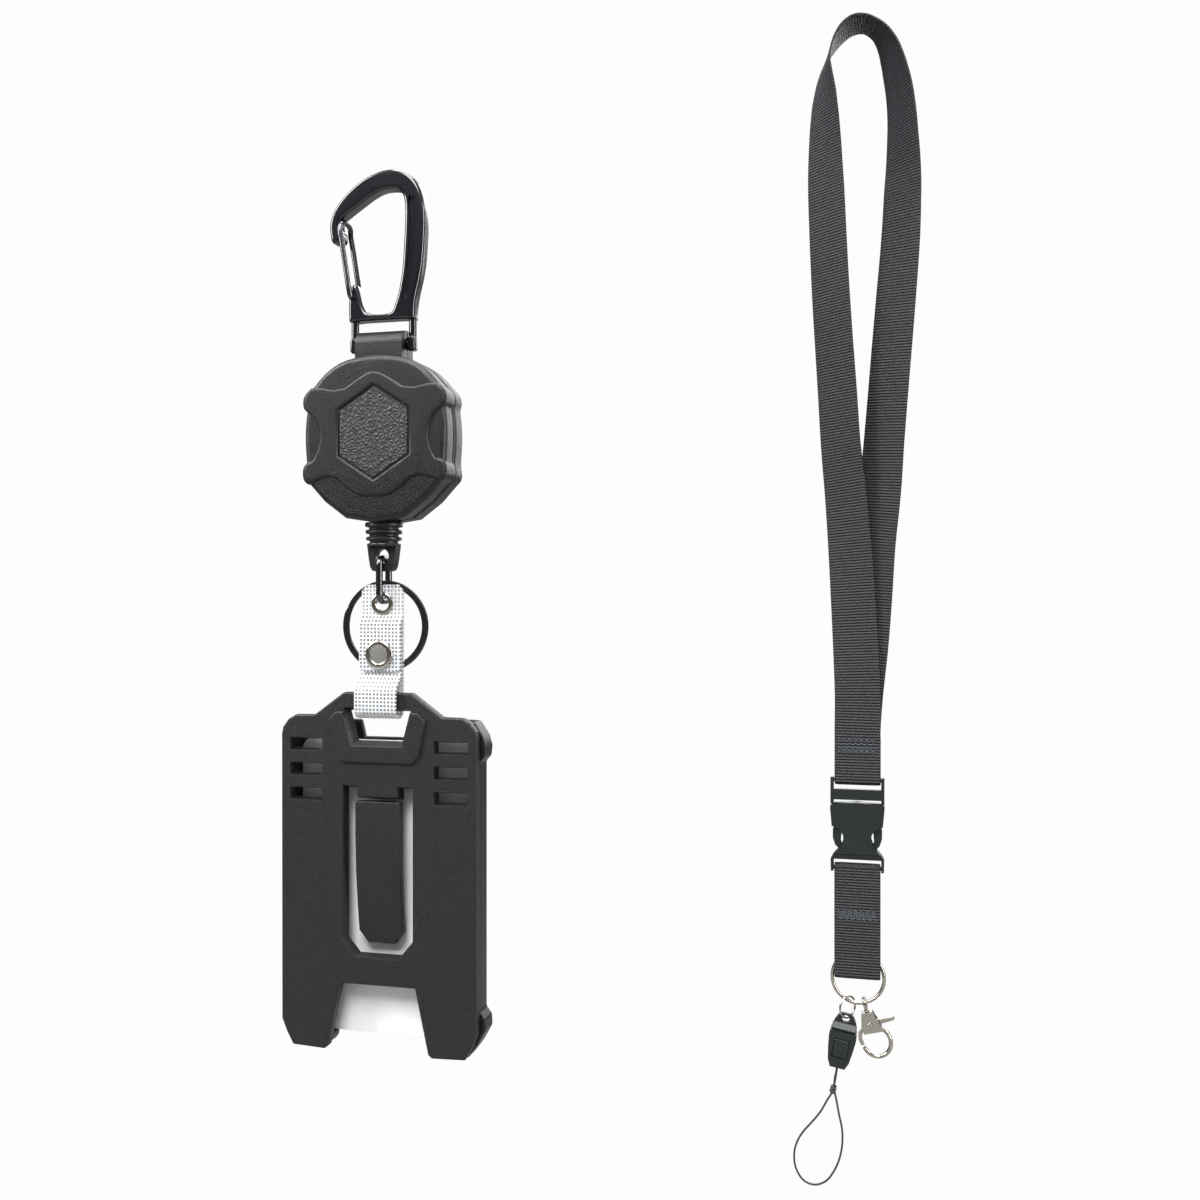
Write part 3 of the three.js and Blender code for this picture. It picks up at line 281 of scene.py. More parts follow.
# ------------------------------------------------------------------ meshes
def finish_mesh(name, me, mat, body, reps=(), sharp=32, loc=None):
    for p in me.polygons:
        p.use_smooth = True
    me.set_sharp_from_angle(angle=math.radians(sharp))
    me.materials.clear()
    me.materials.append(M[mat].m)
    ob = bpy.data.objects.new(name, me)
    bpy.context.collection.objects.link(ob)
    if loc is not None:
        ob.location = loc
    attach(ob, body)
    if reps:
        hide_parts(*reps)
    wn = ob.modifiers.new("normals", "WEIGHTED_NORMAL")
    wn.keep_sharp = True
    wn.weight = 80
    return ob


def raw(name, verts, faces):
    me = bpy.data.meshes.new(name)
    me.from_pydata([tuple(v) for v in verts], [], faces)
    bm = bmesh.new()
    bm.from_mesh(me)
    bmesh.ops.recalc_face_normals(bm, faces=bm.faces)
    bm.to_mesh(me)
    bm.free()
    return me


def bevelled(me, width, angle=28, segs=2, clamp=True):
    """Rounds every edge sharper than the angle, in place."""
    bm = bmesh.new()
    bm.from_mesh(me)
    bmesh.ops.remove_doubles(bm, verts=bm.verts, dist=0.02 * MM)
    bmesh.ops.dissolve_limit(bm, angle_limit=math.radians(1.0), verts=bm.verts, edges=bm.edges)
    edges = [e for e in bm.edges if len(e.link_faces) == 2 and e.calc_face_angle(0) > math.radians(angle)]
    if edges:
        bmesh.ops.bevel(bm, geom=edges, offset=width * MM, offset_type="OFFSET", segments=segs, profile=0.5,
                        affect="EDGES", clamp_overlap=clamp)
    bm.to_mesh(me)
    bm.free()
    return me


BODY = {n: b for b, ns in frame["record"]["behaviour"]["bodies"].items() for n in ns}


def refined(node, mat, width=0.2, angle=28, sharp=32, segs=2):
    """A rounded copy of a CAD solid, shown in its place."""
    me = nodes[node].data.copy()
    me.transform(nodes[node].matrix_world)
    bevelled(me, width, angle, segs)
    return finish_mesh(node + "_shape", me, mat, BODY[node], (node,), sharp)


def spline2d(pts, smooth=0):
    """Closed outline; smooth > 0 samples a centripetal curve through the points."""
    if not smooth:
        return [Vector((p[0], p[1])) for p in pts]
    out, n = [], len(pts)
    P = [Vector((p[0], p[1])) for p in pts]
    for i in range(n):
        a, b, c, d = P[i - 1], P[i], P[(i + 1) % n], P[(i + 2) % n]
        out += [q for q in cr(a, b, c, d, smooth)]
    return out


def cr(a, b, c, d, k):
    """Centripetal Catmull-Rom from b to c, k samples, b included."""
    t0 = 0.0
    t1 = t0 + max(1e-6, (b - a).length) ** 0.5
    t2 = t1 + max(1e-6, (c - b).length) ** 0.5
    t3 = t2 + max(1e-6, (d - c).length) ** 0.5
    for i in range(k):
        t = t1 + (t2 - t1) * i / k
        A1 = a * ((t1 - t) / (t1 - t0)) + b * ((t - t0) / (t1 - t0))
        A2 = b * ((t2 - t) / (t2 - t1)) + c * ((t - t1) / (t2 - t1))
        A3 = c * ((t3 - t) / (t3 - t2)) + d * ((t - t2) / (t3 - t2))
        B1 = A1 * ((t2 - t) / (t2 - t0)) + A2 * ((t - t0) / (t2 - t0))
        B2 = A2 * ((t3 - t) / (t3 - t1)) + A3 * ((t - t1) / (t3 - t1))
        yield B1 * ((t2 - t) / (t2 - t1)) + B2 * ((t - t1) / (t2 - t1))


def path3(pts, k=8, closed=False):
    P = [Vector(p) for p in pts]
    n = len(P)
    if closed:
        out = []
        for i in range(n):
            out += list(cr(P[i - 1], P[i], P[(i + 1) % n], P[(i + 2) % n], k))
        return out
    out = []
    E = [P[0] * 2 - P[1]] + P + [P[-1] * 2 - P[-2]]
    for i in range(1, n):
        out += list(cr(E[i - 1], E[i], E[i + 1], E[i + 2], k))
    out.append(P[-1])
    return out


def plate_mesh(name, outline, holes, y0, y1, bevel, res=3, smooth=0):
    """A flat plate in X and Z with rounded edges, between two depths, as a mesh."""
    cu = bpy.data.curves.new(name, "CURVE")
    cu.dimensions = "2D"
    cu.fill_mode = "BOTH"
    for pts in [outline, *holes]:
        q = spline2d(pts, smooth)
        sp = cu.splines.new("POLY")
        sp.points.add(len(q) - 1)
        for i, p in enumerate(q):
            sp.points[i].co = (p[0] * MM, p[1] * MM, 0, 1)
        sp.use_cyclic_u = True
    cu.extrude = max(0.0, (y1 - y0) / 2 - bevel) * MM
    cu.bevel_depth = bevel * MM
    cu.bevel_resolution = res
    cu.offset = -bevel * MM
    ob = bpy.data.objects.new(name, cu)
    bpy.context.collection.objects.link(ob)
    bpy.context.view_layer.update()
    dg = bpy.context.evaluated_depsgraph_get()
    me = bpy.data.meshes.new_from_object(ob.evaluated_get(dg))
    bpy.data.objects.remove(ob)
    bpy.data.curves.remove(cu)
    me.transform(Matrix.Translation((0, (y0 + y1) / 2 * MM, 0)) @ Matrix.Rotation(math.pi / 2, 4, "X"))
    bm = bmesh.new()
    bm.from_mesh(me)
    bmesh.ops.remove_doubles(bm, verts=bm.verts, dist=0.002 * MM)
    bmesh.ops.recalc_face_normals(bm, faces=bm.faces)
    bm.to_mesh(me)
    bm.free()
    return me


def boolean(me, others, op="DIFFERENCE"):
    """The mesh cut by, or joined with, others, with no helper objects left."""
    a = bpy.data.objects.new("tmp_a", me)
    bpy.context.collection.objects.link(a)
    made = [a]
    for i, o in enumerate(others):
        b = bpy.data.objects.new("tmp_b%d" % i, o)
        bpy.context.collection.objects.link(b)
        made.append(b)
        mod = a.modifiers.new("b%d" % i, "BOOLEAN")
        mod.operation = op
        mod.solver = "EXACT"
        mod.object = b
    bpy.context.view_layer.update()
    dg = bpy.context.evaluated_depsgraph_get()
    out = bpy.data.meshes.new_from_object(a.evaluated_get(dg))
    for o in made:
        bpy.data.objects.remove(o)
    return out


def joined(*mes):
    bm = bmesh.new()
    for me in mes:
        bm.from_mesh(me)
    out = bpy.data.meshes.new("joined")
    bm.to_mesh(out)
    bm.free()
    return out


def tube(name, pts, r, sides=14, closed=False, caps=True):
    """Round tube through dense points (mm) with a rotation-minimising frame."""
    P = [Vector(p) for p in pts]
    n = len(P)
    T = []
    for i in range(n):
        a = P[i - 1] if (closed or i) else P[i]
        b = P[(i + 1) % n] if (closed or i < n - 1) else P[i]
        T.append((b - a).normalized())
    u = T[0].orthogonal().normalized()
    U = []
    for i in range(n):
        u = (u - T[i] * u.dot(T[i])).normalized()
        U.append(u.copy())
    if closed:
        # spread the leftover twist along the ring
        e = (U[-1] - T[0] * U[-1].dot(T[0])).normalized()
        ang = math.atan2(T[0].dot(U[0].cross(e)), U[0].dot(e))
        for i in range(n):
            U[i] = Matrix.Rotation(-ang * i / n, 3, T[i]) @ U[i]
    V, F = [], []
    for i in range(n):
        w = T[i].cross(U[i])
        for k in range(sides):
            a = 2 * math.pi * k / sides
            V.append((P[i] + (U[i] * math.cos(a) + w * math.sin(a)) * r) * MM)
    m = n if closed else n - 1
    for i in range(m):
        j = (i + 1) % n
        for k in range(sides):
            l = (k + 1) % sides
            F.append((i * sides + k, i * sides + l, j * sides + l, j * sides + k))
    if not closed and caps:
        F.append(tuple(range(sides))[::-1])
        F.append(tuple((n - 1) * sides + k for k in range(sides)))
    return raw(name, V, F)


def lathe(name, prof, centre, axis="y", n=48, closed=True):
    """prof is [radius, height] in mm, turned about the axis through centre."""
    V, F = [], []
    k = len(prof)
    for i in range(n):
        a = 2 * math.pi * i / n
        for r, h in prof:
            if axis == "y":
                V.append(Vector((centre[0] + r * math.cos(a), centre[1] + h, centre[2] + r * math.sin(a))) * MM)
            else:
                V.append(Vector((centre[0] + r * math.cos(a), centre[1] + r * math.sin(a), centre[2] + h)) * MM)
    for i in range(n):
        j = (i + 1) % n
        for q in range(k if closed else k - 1):
            l = (q + 1) % k
            F.append((i * k + q, i * k + l, j * k + l, j * k + q))
    me = raw(name, V, F)
    bm = bmesh.new()
    bm.from_mesh(me)
    bmesh.ops.remove_doubles(bm, verts=bm.verts, dist=0.001 * MM)
    bmesh.ops.recalc_face_normals(bm, faces=bm.faces)
    bm.to_mesh(me)
    bm.free()
    return me


mir = lambda pts: [(-p[0], p[1]) for p in pts][::-1]
LM = LAN * MM


def sph_profile(R, r, n=12, y=0.0):
    return [(R + r * math.cos(2 * math.pi * i / n), y + r * math.sin(2 * math.pi * i / n)) for i in range(n)]


# ------------------------------------------------------------ phone string
def string_path():
    y, e = EYE.y, 0.56
    loop = [(-13.0, -475.6), (-16.1, -481.3), (-20.0, -486.4), (-23.6, -490.8), (-26.2, -495.4), (-27.5, -500.4), (-26.9, -507.0), (-23.4, -512.4),
            (-18.6, -513.8), (-13.6, -511.6), (-9.9, -506.4), (-7.6, -500.6), (-6.5, -494.4), (-6.6, -488.0), (-7.9, -481.6)]
    pts = [(-8.35, y - e, -458.6), (-8.85, y - e, -461.6), (-9.4, y - e, -465.6), (-10.3, y - e, -469.6), (-11.3, y - e, -472.6)]
    pts += [(p[0], y, p[1]) for p in loop]
    pts += [(-9.2, y + e, -475.0), (-10.0, y + e, -471.0), (-9.9, y + e, -466.6), (-8.95, y + e, -461.8), (-8.35, y + e, -458.6)]
    return [p + LAN for p in path3(pts, 7)]


sp_pts = string_path()
cu = bpy.data.curves.new("phone_string", "CURVE")
cu.dimensions = "3D"
cu.bevel_depth = 0.45 * MM
cu.bevel_resolution = 5
cu.use_fill_caps = True
sp = cu.splines.new("POLY")
sp.points.add(len(sp_pts) - 1)
for i, p in enumerate(sp_pts):
    sp.points[i].co = (*(p * MM), 1)
cu.materials.append(M["cord"].m)
string = bpy.data.objects.new("phone_string", cu)
bpy.context.collection.objects.link(string)
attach(string, "socket")
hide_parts("string_loop")
# knot: three tight wraps round both strands
kc = Vector((-10.45, EYE.y, -470.6)) + LAN
kn = []
kd = Vector((-0.28, 0, -1)).normalized()
ku = Vector((1, 0, -0.28)).normalized()
kw = Vector((0, 1, 0))
for i in range(3 * 20 + 1):
    a = 2 * math.pi * i / 20
    s = -1.5 + 3.0 * i / 60
    kn.append(kc + kd * s + ku * math.cos(a) * (1.05 if 0.1 < i / 60 < 0.9 else 0.8) + kw * math.sin(a) * 1.35)
knot = finish_mesh("string_knot", tube("string_knot", kn, 0.42, 10), "cord", "socket", (), 60)

# --------------------------------------------------------------- carabiner
hook = [(-14.2, -14.5), (-15.4, -14.3), (-16.0, -12.6), (-16.3, -8.9), (-15.4, -5.8), (-14.0, -3.5), (-11.9, -1.1), (-9.4, 1.1),
        (-6.0, 3.4), (-1.8, 5.1), (2.2, 5.8), (6.0, 5.2), (8.9, 3.6), (11.3, 0.9), (12.8, -3.0), (13.4, -8.9), (13.2, -15.0),
        (12.7, -21.3), (11.9, -26.0), (11.0, -29.6), (10.3, -33.4), (10.15, -36.6), (10.1, -37.6), (6.0, -37.62), (0, -37.62), (-6.0, -37.62), (-10.1, -37.6), (-10.2, -36.6), (-10.3, -32.5), (-9.9, -29.0),
        (-9.3, -27.2), (-8.4, -26.7), (-7.5, -27.4), (-6.8, -29.6), (-6.0, -32.6), (-4.6, -35.1), (-3.0, -35.7), (2.2, -35.7),
        (3.4, -35.0), (4.1, -33.4), (5.1, -30.4), (6.0, -26.0), (6.5, -22.4), (7.0, -15.0), (7.3, -8.0), (7.2, -4.4), (6.6, -1.8),
        (5.2, -0.4), (2.6, 0.0), (0.0, -0.2), (-3.4, -1.6), (-7.6, -4.2), (-11.0, -6.4), (-12.9, -7.9), (-13.0, -10.4), (-12.3, -11.6), (-12.3, -13.6), (-13.0, -14.4)]
flute = [(8.7, -2.6), (9.7, -2.2), (10.5, -3.2), (11.0, -9.0), (10.5, -18.0), (9.7, -25.0), (8.3, -31.0), (7.5, -31.8), (6.9, -31.0), (7.5, -26.0), (8.4, -18.0), (8.9, -9.0)]
body = plate_mesh("carabiner", hook, [], -2.4, 2.4, 1.05, 4, 3)
g1 = plate_mesh("flute", flute, [], -4.0, -1.35, 0.45, 2, 4)
g2 = plate_mesh("flute", flute, [], 1.35, 4.0, 0.45, 2, 4)
pin_hole = lathe("pin", [(0, -5), (1.05, -5), (1.05, 5), (0, 5)], (-9.0, 0, -30.8), "y", 20, False)
body = boolean(body, [g1, g2])
legs = []
for sx in (-1, 1):
    legs.append(tube("leg", [(sx * 9.0, 0, -35.5), (sx * 9.0, 0, -38.5), (sx * 9.0, 0, -42.0), (sx * 9.0, 0, -46.0), (sx * 9.0, 0, -46.5)], 1.15, 20))
    legs.append(bevelled(raw("boss", [Vector((sx * 9.0 + dx, dy, z)) * MM for z in (-46.6, -42.4) for dx, dy in ((-1.1, -1.7), (1.1, -1.7), (1.1, 1.7), (-1.1, 1.7))],
                             [(0, 1, 2, 3), (4, 5, 6, 7), (0, 1, 5, 4), (1, 2, 6, 5), (2, 3, 7, 6), (3, 0, 4, 7)]), 0.75, 20, 4))
legs.append(tube("bar", [(-9, 0, -44.6), (0, 0, -44.6), (9, 0, -44.6)], 1.45, 20))
finish_mesh("carabiner_forging", joined(body, *legs), "gloss_black", "hang", ("carabiner_body",), 40)
ga = [(-9.0, -0.6, -30.8), (-9.0, -2.4, -30.8), (-9.05, -3.3, -30.4), (-9.3, -3.6, -28.8), (-10.4, -3.6, -22.0), (-11.7, -3.6, -14.0), (-12.2, -3.5, -11.0),
      (-12.0, -2.9, -9.4), (-11.8, -1.6, -8.7), (-11.75, 0, -8.55)]
gb = [(p[0], -p[1], p[2]) for p in ga[:-1]][::-1]
finish_mesh("gate_wire", tube("gate_wire", path3(ga + gb, 6), 0.8, 16), "gunmetal", "gate", ("carabiner_gate",), 50)

# -------------------------------------------------------------------- reel
RZ = -71.8
reel = [(-9.2, -95.1), (-20.4, -85.3), (-21.6, -84.0), (-22.0, -82.2), (-21.6, -79.6), (-21.9, -75.0), (-22.0, -70.5), (-21.7, -66.0), (-21.4, -63.6),
        (-21.9, -61.6), (-21.4, -59.2), (-19.6, -57.2), (-15.6, -53.0), (-11.2, -50.2), (-6.0, -48.8), (0, -48.3)]
reel_out = reel + [(-p[0], p[1]) for p in reel[:-1]][::-1]
star_half = [(0, -53.0), (-2.0, -53.4), (-5.2, -55.2), (-9.0, -57.6), (-12.6, -58.0), (-16.4, -57.2), (-19.6, -57.2), (-21.4, -59.2), (-21.9, -61.6), (-21.4, -63.6),
             (-18.6, -66.0), (-17.2, -69.0), (-16.8, -72.0), (-17.6, -75.6), (-19.2, -78.4), (-21.6, -79.6), (-22.0, -82.2), (-21.6, -84.0), (-20.4, -85.3),
             (-17.6, -84.2), (-14.4, -83.2), (-11.6, -83.9), (-8.6, -86.4), (-5.2, -88.6), (-2.4, -89.2), (0, -89.2)]
star = star_half + [(-p[0], p[1]) for p in star_half[1:-1]][::-1]
hexa = [(0, -57.2), (10.9, -64.0), (10.9, -77.2), (0, -84.2), (-10.9, -77.2), (-10.9, -64.0)]


def about(pts, k, cz=RZ):
    return [(p[0] * k, cz + (p[1] - cz) * k) for p in pts]


shell = plate_mesh("shell", about(reel_out, 0.995), [], -7.2, -0.15, 1.7, 5, 2)
star_m = plate_mesh("star", about(star, 0.99), [hexa], -7.75, -4.6, 0.75, 4, 0)
ears = []
for pts in ([(19.4, -57.6), (21.7, -59.6), (22.15, -61.6), (21.6, -63.6), (19.6, -64.6), (18.2, -61.0)],
            [(19.4, -78.4), (21.8, -79.8), (22.25, -82.2), (21.8, -84.0), (20.2, -85.2), (18.4, -82.2)]):
    ears.append(plate_mesh("ear", pts, [], -7.4, -0.2, 0.5, 3, 3))
    ears.append(plate_mesh("ear", mir(pts), [], -7.4, -0.2, 0.5, 3, 3))


def lug(side):
    y0, y1 = (-4.1, -0.15) if side < 0 else (0.15, 4.1)
    prof = []
    for i in range(13):
        a = math.pi * i / 12
        prof.append((4.1 * math.cos(a), -44.6 + 3.9 * math.sin(a)))
    prof += [(-4.1, -50.4), (4.1, -50.4)]
    V = [Vector((x, p[0], p[1])) * MM for x in (-7.3, 7.3) for p in prof]
    n = len(prof)
    F = [tuple(range(n)), tuple(range(n, 2 * n))] + [(i, (i + 1) % n, n + (i + 1) % n, n + i) for i in range(n)]
    blk = raw("lug", V, F)
    w = 20
    keep = raw("half", [Vector((x, y, z)) * MM for z in (-60, -30) for x, y in ((-w, y0), (w, y0), (w, y1), (-w, y1))],
               [(0, 1, 2, 3), (4, 5, 6, 7), (0, 1, 5, 4), (1, 2, 6, 5), (2, 3, 7, 6), (3, 0, 4, 7)])
    blk = boolean(blk, [keep], "INTERSECT")
    return bevelled(boolean(blk, [tube("ch", [(-12, 0, -44.6), (0, 0, -44.6), (12, 0, -44.6)], 1.75, 20)]), 0.45, 40, 3)


exit_cut = lathe("exit", [(0, -97), (3.3, -97), (3.3, -92.9), (0, -92.9)], (0, 0, 0), "z", 28, False)
cover = boolean(joined(shell), [exit_cut])
finish_mesh("reel_front_shell", joined(cover, star_m, lug(-1), *ears), "case", "reel", ("reel_front_cover",), 34)
back = plate_mesh("back", about(reel_out, 0.995), [], 0.15, 7.2, 1.4, 4, 2)
exit_cut = lathe("exit", [(0, -97), (3.3, -97), (3.3, -92.9), (0, -92.9)], (0, 0, 0), "z", 28, False)
holes = [lathe("hole", [(0, 5.6), (2.0, 5.6), (2.0, 9), (0, 9)], (sx, 0, z), "y", 20, False) for sx, z in ((-17.2, -59.75), (17.2, -59.75), (-18.0, -82.3), (18.0, -82.3))]
back = boolean(back, [exit_cut, *holes])
finish_mesh("reel_back_shell", joined(back, lug(1)), "case", "reel", ("reel_back_cover",), 34)
inl = plate_mesh("inlay", about(hexa, 0.955, -70.7), [], -7.5, -6.9, 0.25, 3, 0)
finish_mesh("pebbled_inlay", inl, "inlay", "reel", ("hex_inlay",), 40)
for i in range(4):
    refined("case_screw_%d" % (i + 1), "zinc", 0.12)
refined("cord_drum", "nylon", 0.15)
refined("wound_cord", "cord", 0.4)
refined("drum_post", "zinc", 0.1)
refined("power_spring", "spring_steel", 0.04, 50, 32, 1)
finish_mesh("exit_grommet", lathe("exit_grommet", [(1.1, -94), (2.9, -94), (2.9, -95.2), (3.9, -95.25), (4.05, -95.5), (3.9, -95.8), (3.0, -95.9), (1.6, -95.8), (1.15, -95.4)], (0, 0, 0), "z", 40),
            "nickel", "reel", ("cord_guide",), 30)
finish_mesh("inner_cord", tube("inner_cord", path3([(-15.0, 0, -80.4), (-12.2, 0, -84.1), (-9.0, 0, -86.6), (-4.6, 0, -89.0), (-1.4, 0, -90.6), (-0.2, 0, -91.6), (0, 0, -92.7)], 5), 0.5, 10),
            "cord", "reel", ("cord_lead",), 60)
pull = finish_mesh("paying_cord", tube("paying_cord", [(0, 0, -93.0 - 6.0 * i / 24) for i in range(25)], 0.55, 12), "cord", "cord", (), 60)
pull.parent = None
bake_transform(pull)
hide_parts("pull_cord")

# ---------------------------------------------------- cord end, link, rings
prof = [(0.0, -96.1), (5.2, -96.1), (5.45, -96.4), (5.45, -97.1), (5.2, -97.35), (4.4, -97.4), (4.3, -97.6), (4.3, -98.1), (5.0, -98.25), (5.3, -98.5), (5.3, -99.1), (5.0, -99.35), (4.3, -99.4),
        (4.2, -99.6), (4.2, -100.1), (4.9, -100.25), (5.15, -100.5), (5.15, -101.0), (4.9, -101.25), (4.2, -101.3), (4.1, -101.5), (4.1, -102.0), (4.8, -102.2), (4.9, -102.5), (4.7, -103.0), (0.0, -103.0)]
ribs = lathe("ribs", prof, (0, 0, 0), "z", 48, False)
eye = plate_mesh("eye", [(-4.75, -102.2), (-4.6, -103.6), (-4.2, -106.6), (-3.75, -109.0), (-3.1, -110.0), (-2.2, -110.2), (2.2, -110.2), (3.1, -110.0), (3.75, -109.0), (4.2, -106.6), (4.6, -103.6), (4.75, -102.2)],
                 [[(2.05 * math.cos(2 * math.pi * i / 28), -105.8 + 2.05 * math.sin(2 * math.pi * i / 28)) for i in range(28)]], -1.75, 1.75, 0.5, 4, 0)
finish_mesh("cord_end_moulding", joined(ribs, eye), "cord_end", "end", ("cord_end",), 40)

R, w, zc, hh = 2.0, 3.25, (-106.55 - 118.7) / 2, (118.7 - 106.55) / 2
oval = []
for cx, cz, a0 in ((w - R, hh - R, 0), (-(w - R), hh - R, 90), (-(w - R), -(hh - R), 180), (w - R, -(hh - R), 270)):
    for i in range(11):
        a = math.radians(a0 + 9 * i)
        oval.append((0, cx + R * math.cos(a), zc + cz + R * math.sin(a)))
link_m = tube("link", oval, 1.0, 16, True)
finish_mesh("oval_link", link_m, "gunmetal", "link", ("link_ring",), 60)


def split_ring(name, c, r0, r1, y0, y1, turns=1.92):
    """A flat wire wound nearly twice round, each turn behind the last."""
    steps = 150
    half = (y1 - y0) / 4 - 0.02
    V, F = [], []
    sec = []
    for i in range(12):
        a = 2 * math.pi * i / 12
        sx, sy = math.cos(a), math.sin(a)
        sec.append((math.copysign(abs(sx) ** 0.55, sx) * (r1 - r0) / 2, math.copysign(abs(sy) ** 0.6, sy) * half))
    k = len(sec)
    for i in range(steps + 1):
        f = i / steps
        a = math.radians(150) + f * turns * 2 * math.pi
        s = min(1.0, max(0.0, (f - 0.44) / 0.12))
        s = s * s * (3 - 2 * s)
        y = y0 + half + s * (y1 - y0 - 2 * half)
        taper = min(1.0, f * 40 + 0.35, (1 - f) * 40 + 0.35)
        for dr, dy in sec:
            r = (r0 + r1) / 2 + dr * taper
            V.append(Vector((c[0] + r * math.cos(a), y + dy * taper, c[2] + r * math.sin(a))) * MM)
    for i in range(steps):
        for q in range(k):
            l = (q + 1) % k
            F.append((i * k + q, i * k + l, (i + 1) * k + l, (i + 1) * k + q))
    F.append(tuple(range(k))[::-1])
    F.append(tuple(steps * k + q for q in range(k)))
    return raw(name, V, F)


finish_mesh("split_key_ring", split_ring("split_key_ring", (0, 0, -126.1), 11.5, 13.3, 0.4, 1.6), "gunmetal", "keyring", ("key_ring",), 50)

# -------------------------------------------------------------- vinyl strap
refined("clip_strap", "vinyl", 0.12, 40, 40, 1)
finish_mesh("eyelet_ring", lathe("eyelet_ring", [(2.1, -1.45), (2.25, -1.62), (2.7, -1.72), (3.15, -1.62), (3.35, -1.42), (3.3, -1.36), (2.5, -1.36), (2.5, -0.14), (3.3, -0.14), (3.3, 0.08), (2.15, 0.08)], (0, 0, -119.5), "y", 40),
            "nickel", "strap", ("strap_eyelet",), 34)
cap_m = lathe("cap", [(2.75, -3.9), (2.95, -4.12), (3.5, -4.16), (3.95, -4.0), (4.18, -3.7), (4.12, -3.42), (2.4, -3.36), (2.4, -2.45), (1.5, -2.45), (1.5, -3.3)], (0, 0, -134.2), "y", 44)
finish_mesh("snap_rim", cap_m, "nickel", "strap", ("snap_cap",), 34)
mid = lathe("mid", [(0.0, -3.98), (1.2, -3.97), (2.2, -3.92), (2.82, -3.82), (2.82, -3.4), (0.0, -3.4)], (0, 0, -134.2), "y", 36, False)
finish_mesh("snap_disc", mid, "snap_centre", "strap", (), 34)
stud = lathe("stud", [(0, -3.05), (1.05, -3.05), (1.2, -2.6), (1.0, -2.2), (1.3, -1.9), (1.3, -0.05), (3.5, -0.05), (3.35, 0.1), (0, 0.15)], (0, 0, -134.2), "y", 32, False)
finish_mesh("snap_post", stud, "nickel", "strap", ("snap_stud",), 34)

# ------------------------------------------------------------------- holder
half = [(-10.4, -145.1), (-11.2, -145.6), (-19.8, -151.8), (-25.9, -151.9), (-28.1, -153.2), (-29.9, -155.6), (-30.3, -157.6), (-30.2, -240.8), (-28.6, -244.6), (-26.6, -248.2), (-16.6, -248.6), (-15.5, -247.6), (-11.5, -229.2)]
plate = half + mir(half)
strap_in = [(-9.0, -150.7), (9.0, -150.7), (6.8, -158.9), (-6.8, -158.9)]
vents = [[(-26.9, z - 0.6), (-17.9, z - 0.6), (-17.9, z - 3.0), (-26.9, z - 3.0)] for z in (-158.6, -165.8, -173.0)]
so = [(-9.9, -173.0), (-7.3, -173.0), (-7.3, -176.1), (7.3, -176.1), (7.3, -173.0), (9.9, -173.0), (9.9, -216.2), (6.3, -220.3), (-6.3, -220.3), (-9.9, -216.2)]


def grow(pts, d):
    """Offset a closed outline outwards by d along its corner bisectors."""
    n = len(pts)
    P = [Vector(p) for p in pts]
    area = sum(P[i].x * P[(i + 1) % n].y - P[(i + 1) % n].x * P[i].y for i in range(n))
    s = 1 if area > 0 else -1
    out = []
    for i in range(n):
        a, b, c = P[i - 1], P[i], P[(i + 1) % n]
        e1, e2 = (b - a).normalized(), (c - b).normalized()
        n1, n2 = Vector((e1.y, -e1.x)) * s, Vector((e2.y, -e2.x)) * s
        bis = (n1 + n2)
        if bis.length < 1e-4:
            bis = n1
        bis.normalize()
        k = max(0.45, bis.dot(n1))
        out.append(tuple(b + bis * (d / k)))
    return out


def draft(name, pts, y0, y1, flare):
    """A tapered cutter: wider at y0 by flare than at y1."""
    a, b = grow(pts, flare), pts
    n = len(pts)
    V = [Vector((p[0], y0, p[1])) * MM for p in a] + [Vector((p[0], y1, p[1])) * MM for p in b]
    F = [tuple(range(n)), tuple(range(n, 2 * n))] + [(i, (i + 1) % n, n + (i + 1) % n, n + i) for i in range(n)]
    return raw(name, V, F)


main = plate_mesh("plate", plate, [], -4.85, -1.85, 0.55, 4, 0)
cutters = []
for pts, fl in [(strap_in, 1.2), (so, 1.1)] + [(q, 0.65) for v_ in vents for q in (v_, mir(v_))]:
    cutters.append(draft("cut", pts, -4.95, -1.2, fl))
main = boolean(main, cutters)
main = bevelled(main, 0.16, 30, 2)
boss = [(-12.6, -150.6), (-15.1, -152.9), (-12.8, -163.3), (-10.8, -165.3), (10.8, -165.3), (12.8, -163.3), (15.1, -152.9), (12.6, -150.6)]
boss_m = plate_mesh("boss", boss, [], -5.62, -4.3, 0.5, 4, 0)
vcut = draft("cut", strap_in, -5.9, -3.0, 1.75)
boss_m = bevelled(boolean(boss_m, [vcut]), 0.16, 30, 2)
finish_mesh("holder_face", joined(main, boss_m), "plate", "holder", ("holder_front",), 24)
refined("spring_finger", "plate", 0.35, 25, 24, 3)
refined("holder_rear_frame", "frame", 0.45, 25, 30, 3)
cr_ = 3.18
card_o = []
for sx, sz, a0 in ((1, 1, 0), (-1, 1, 90), (-1, -1, 180), (1, -1, 270)):
    for i in range(9):
        a = math.radians(a0 + 90 * i / 8)
        card_o.append((sx * (27 - cr_) + cr_ * math.cos(a), -202.2 + sz * (42.8 - cr_) + cr_ * math.sin(a)))
finish_mesh("blank_card", plate_mesh("blank_card", card_o, [], 1.95, 2.75, 0.1, 2, 0), "card", "card", ("id_card",), 34)


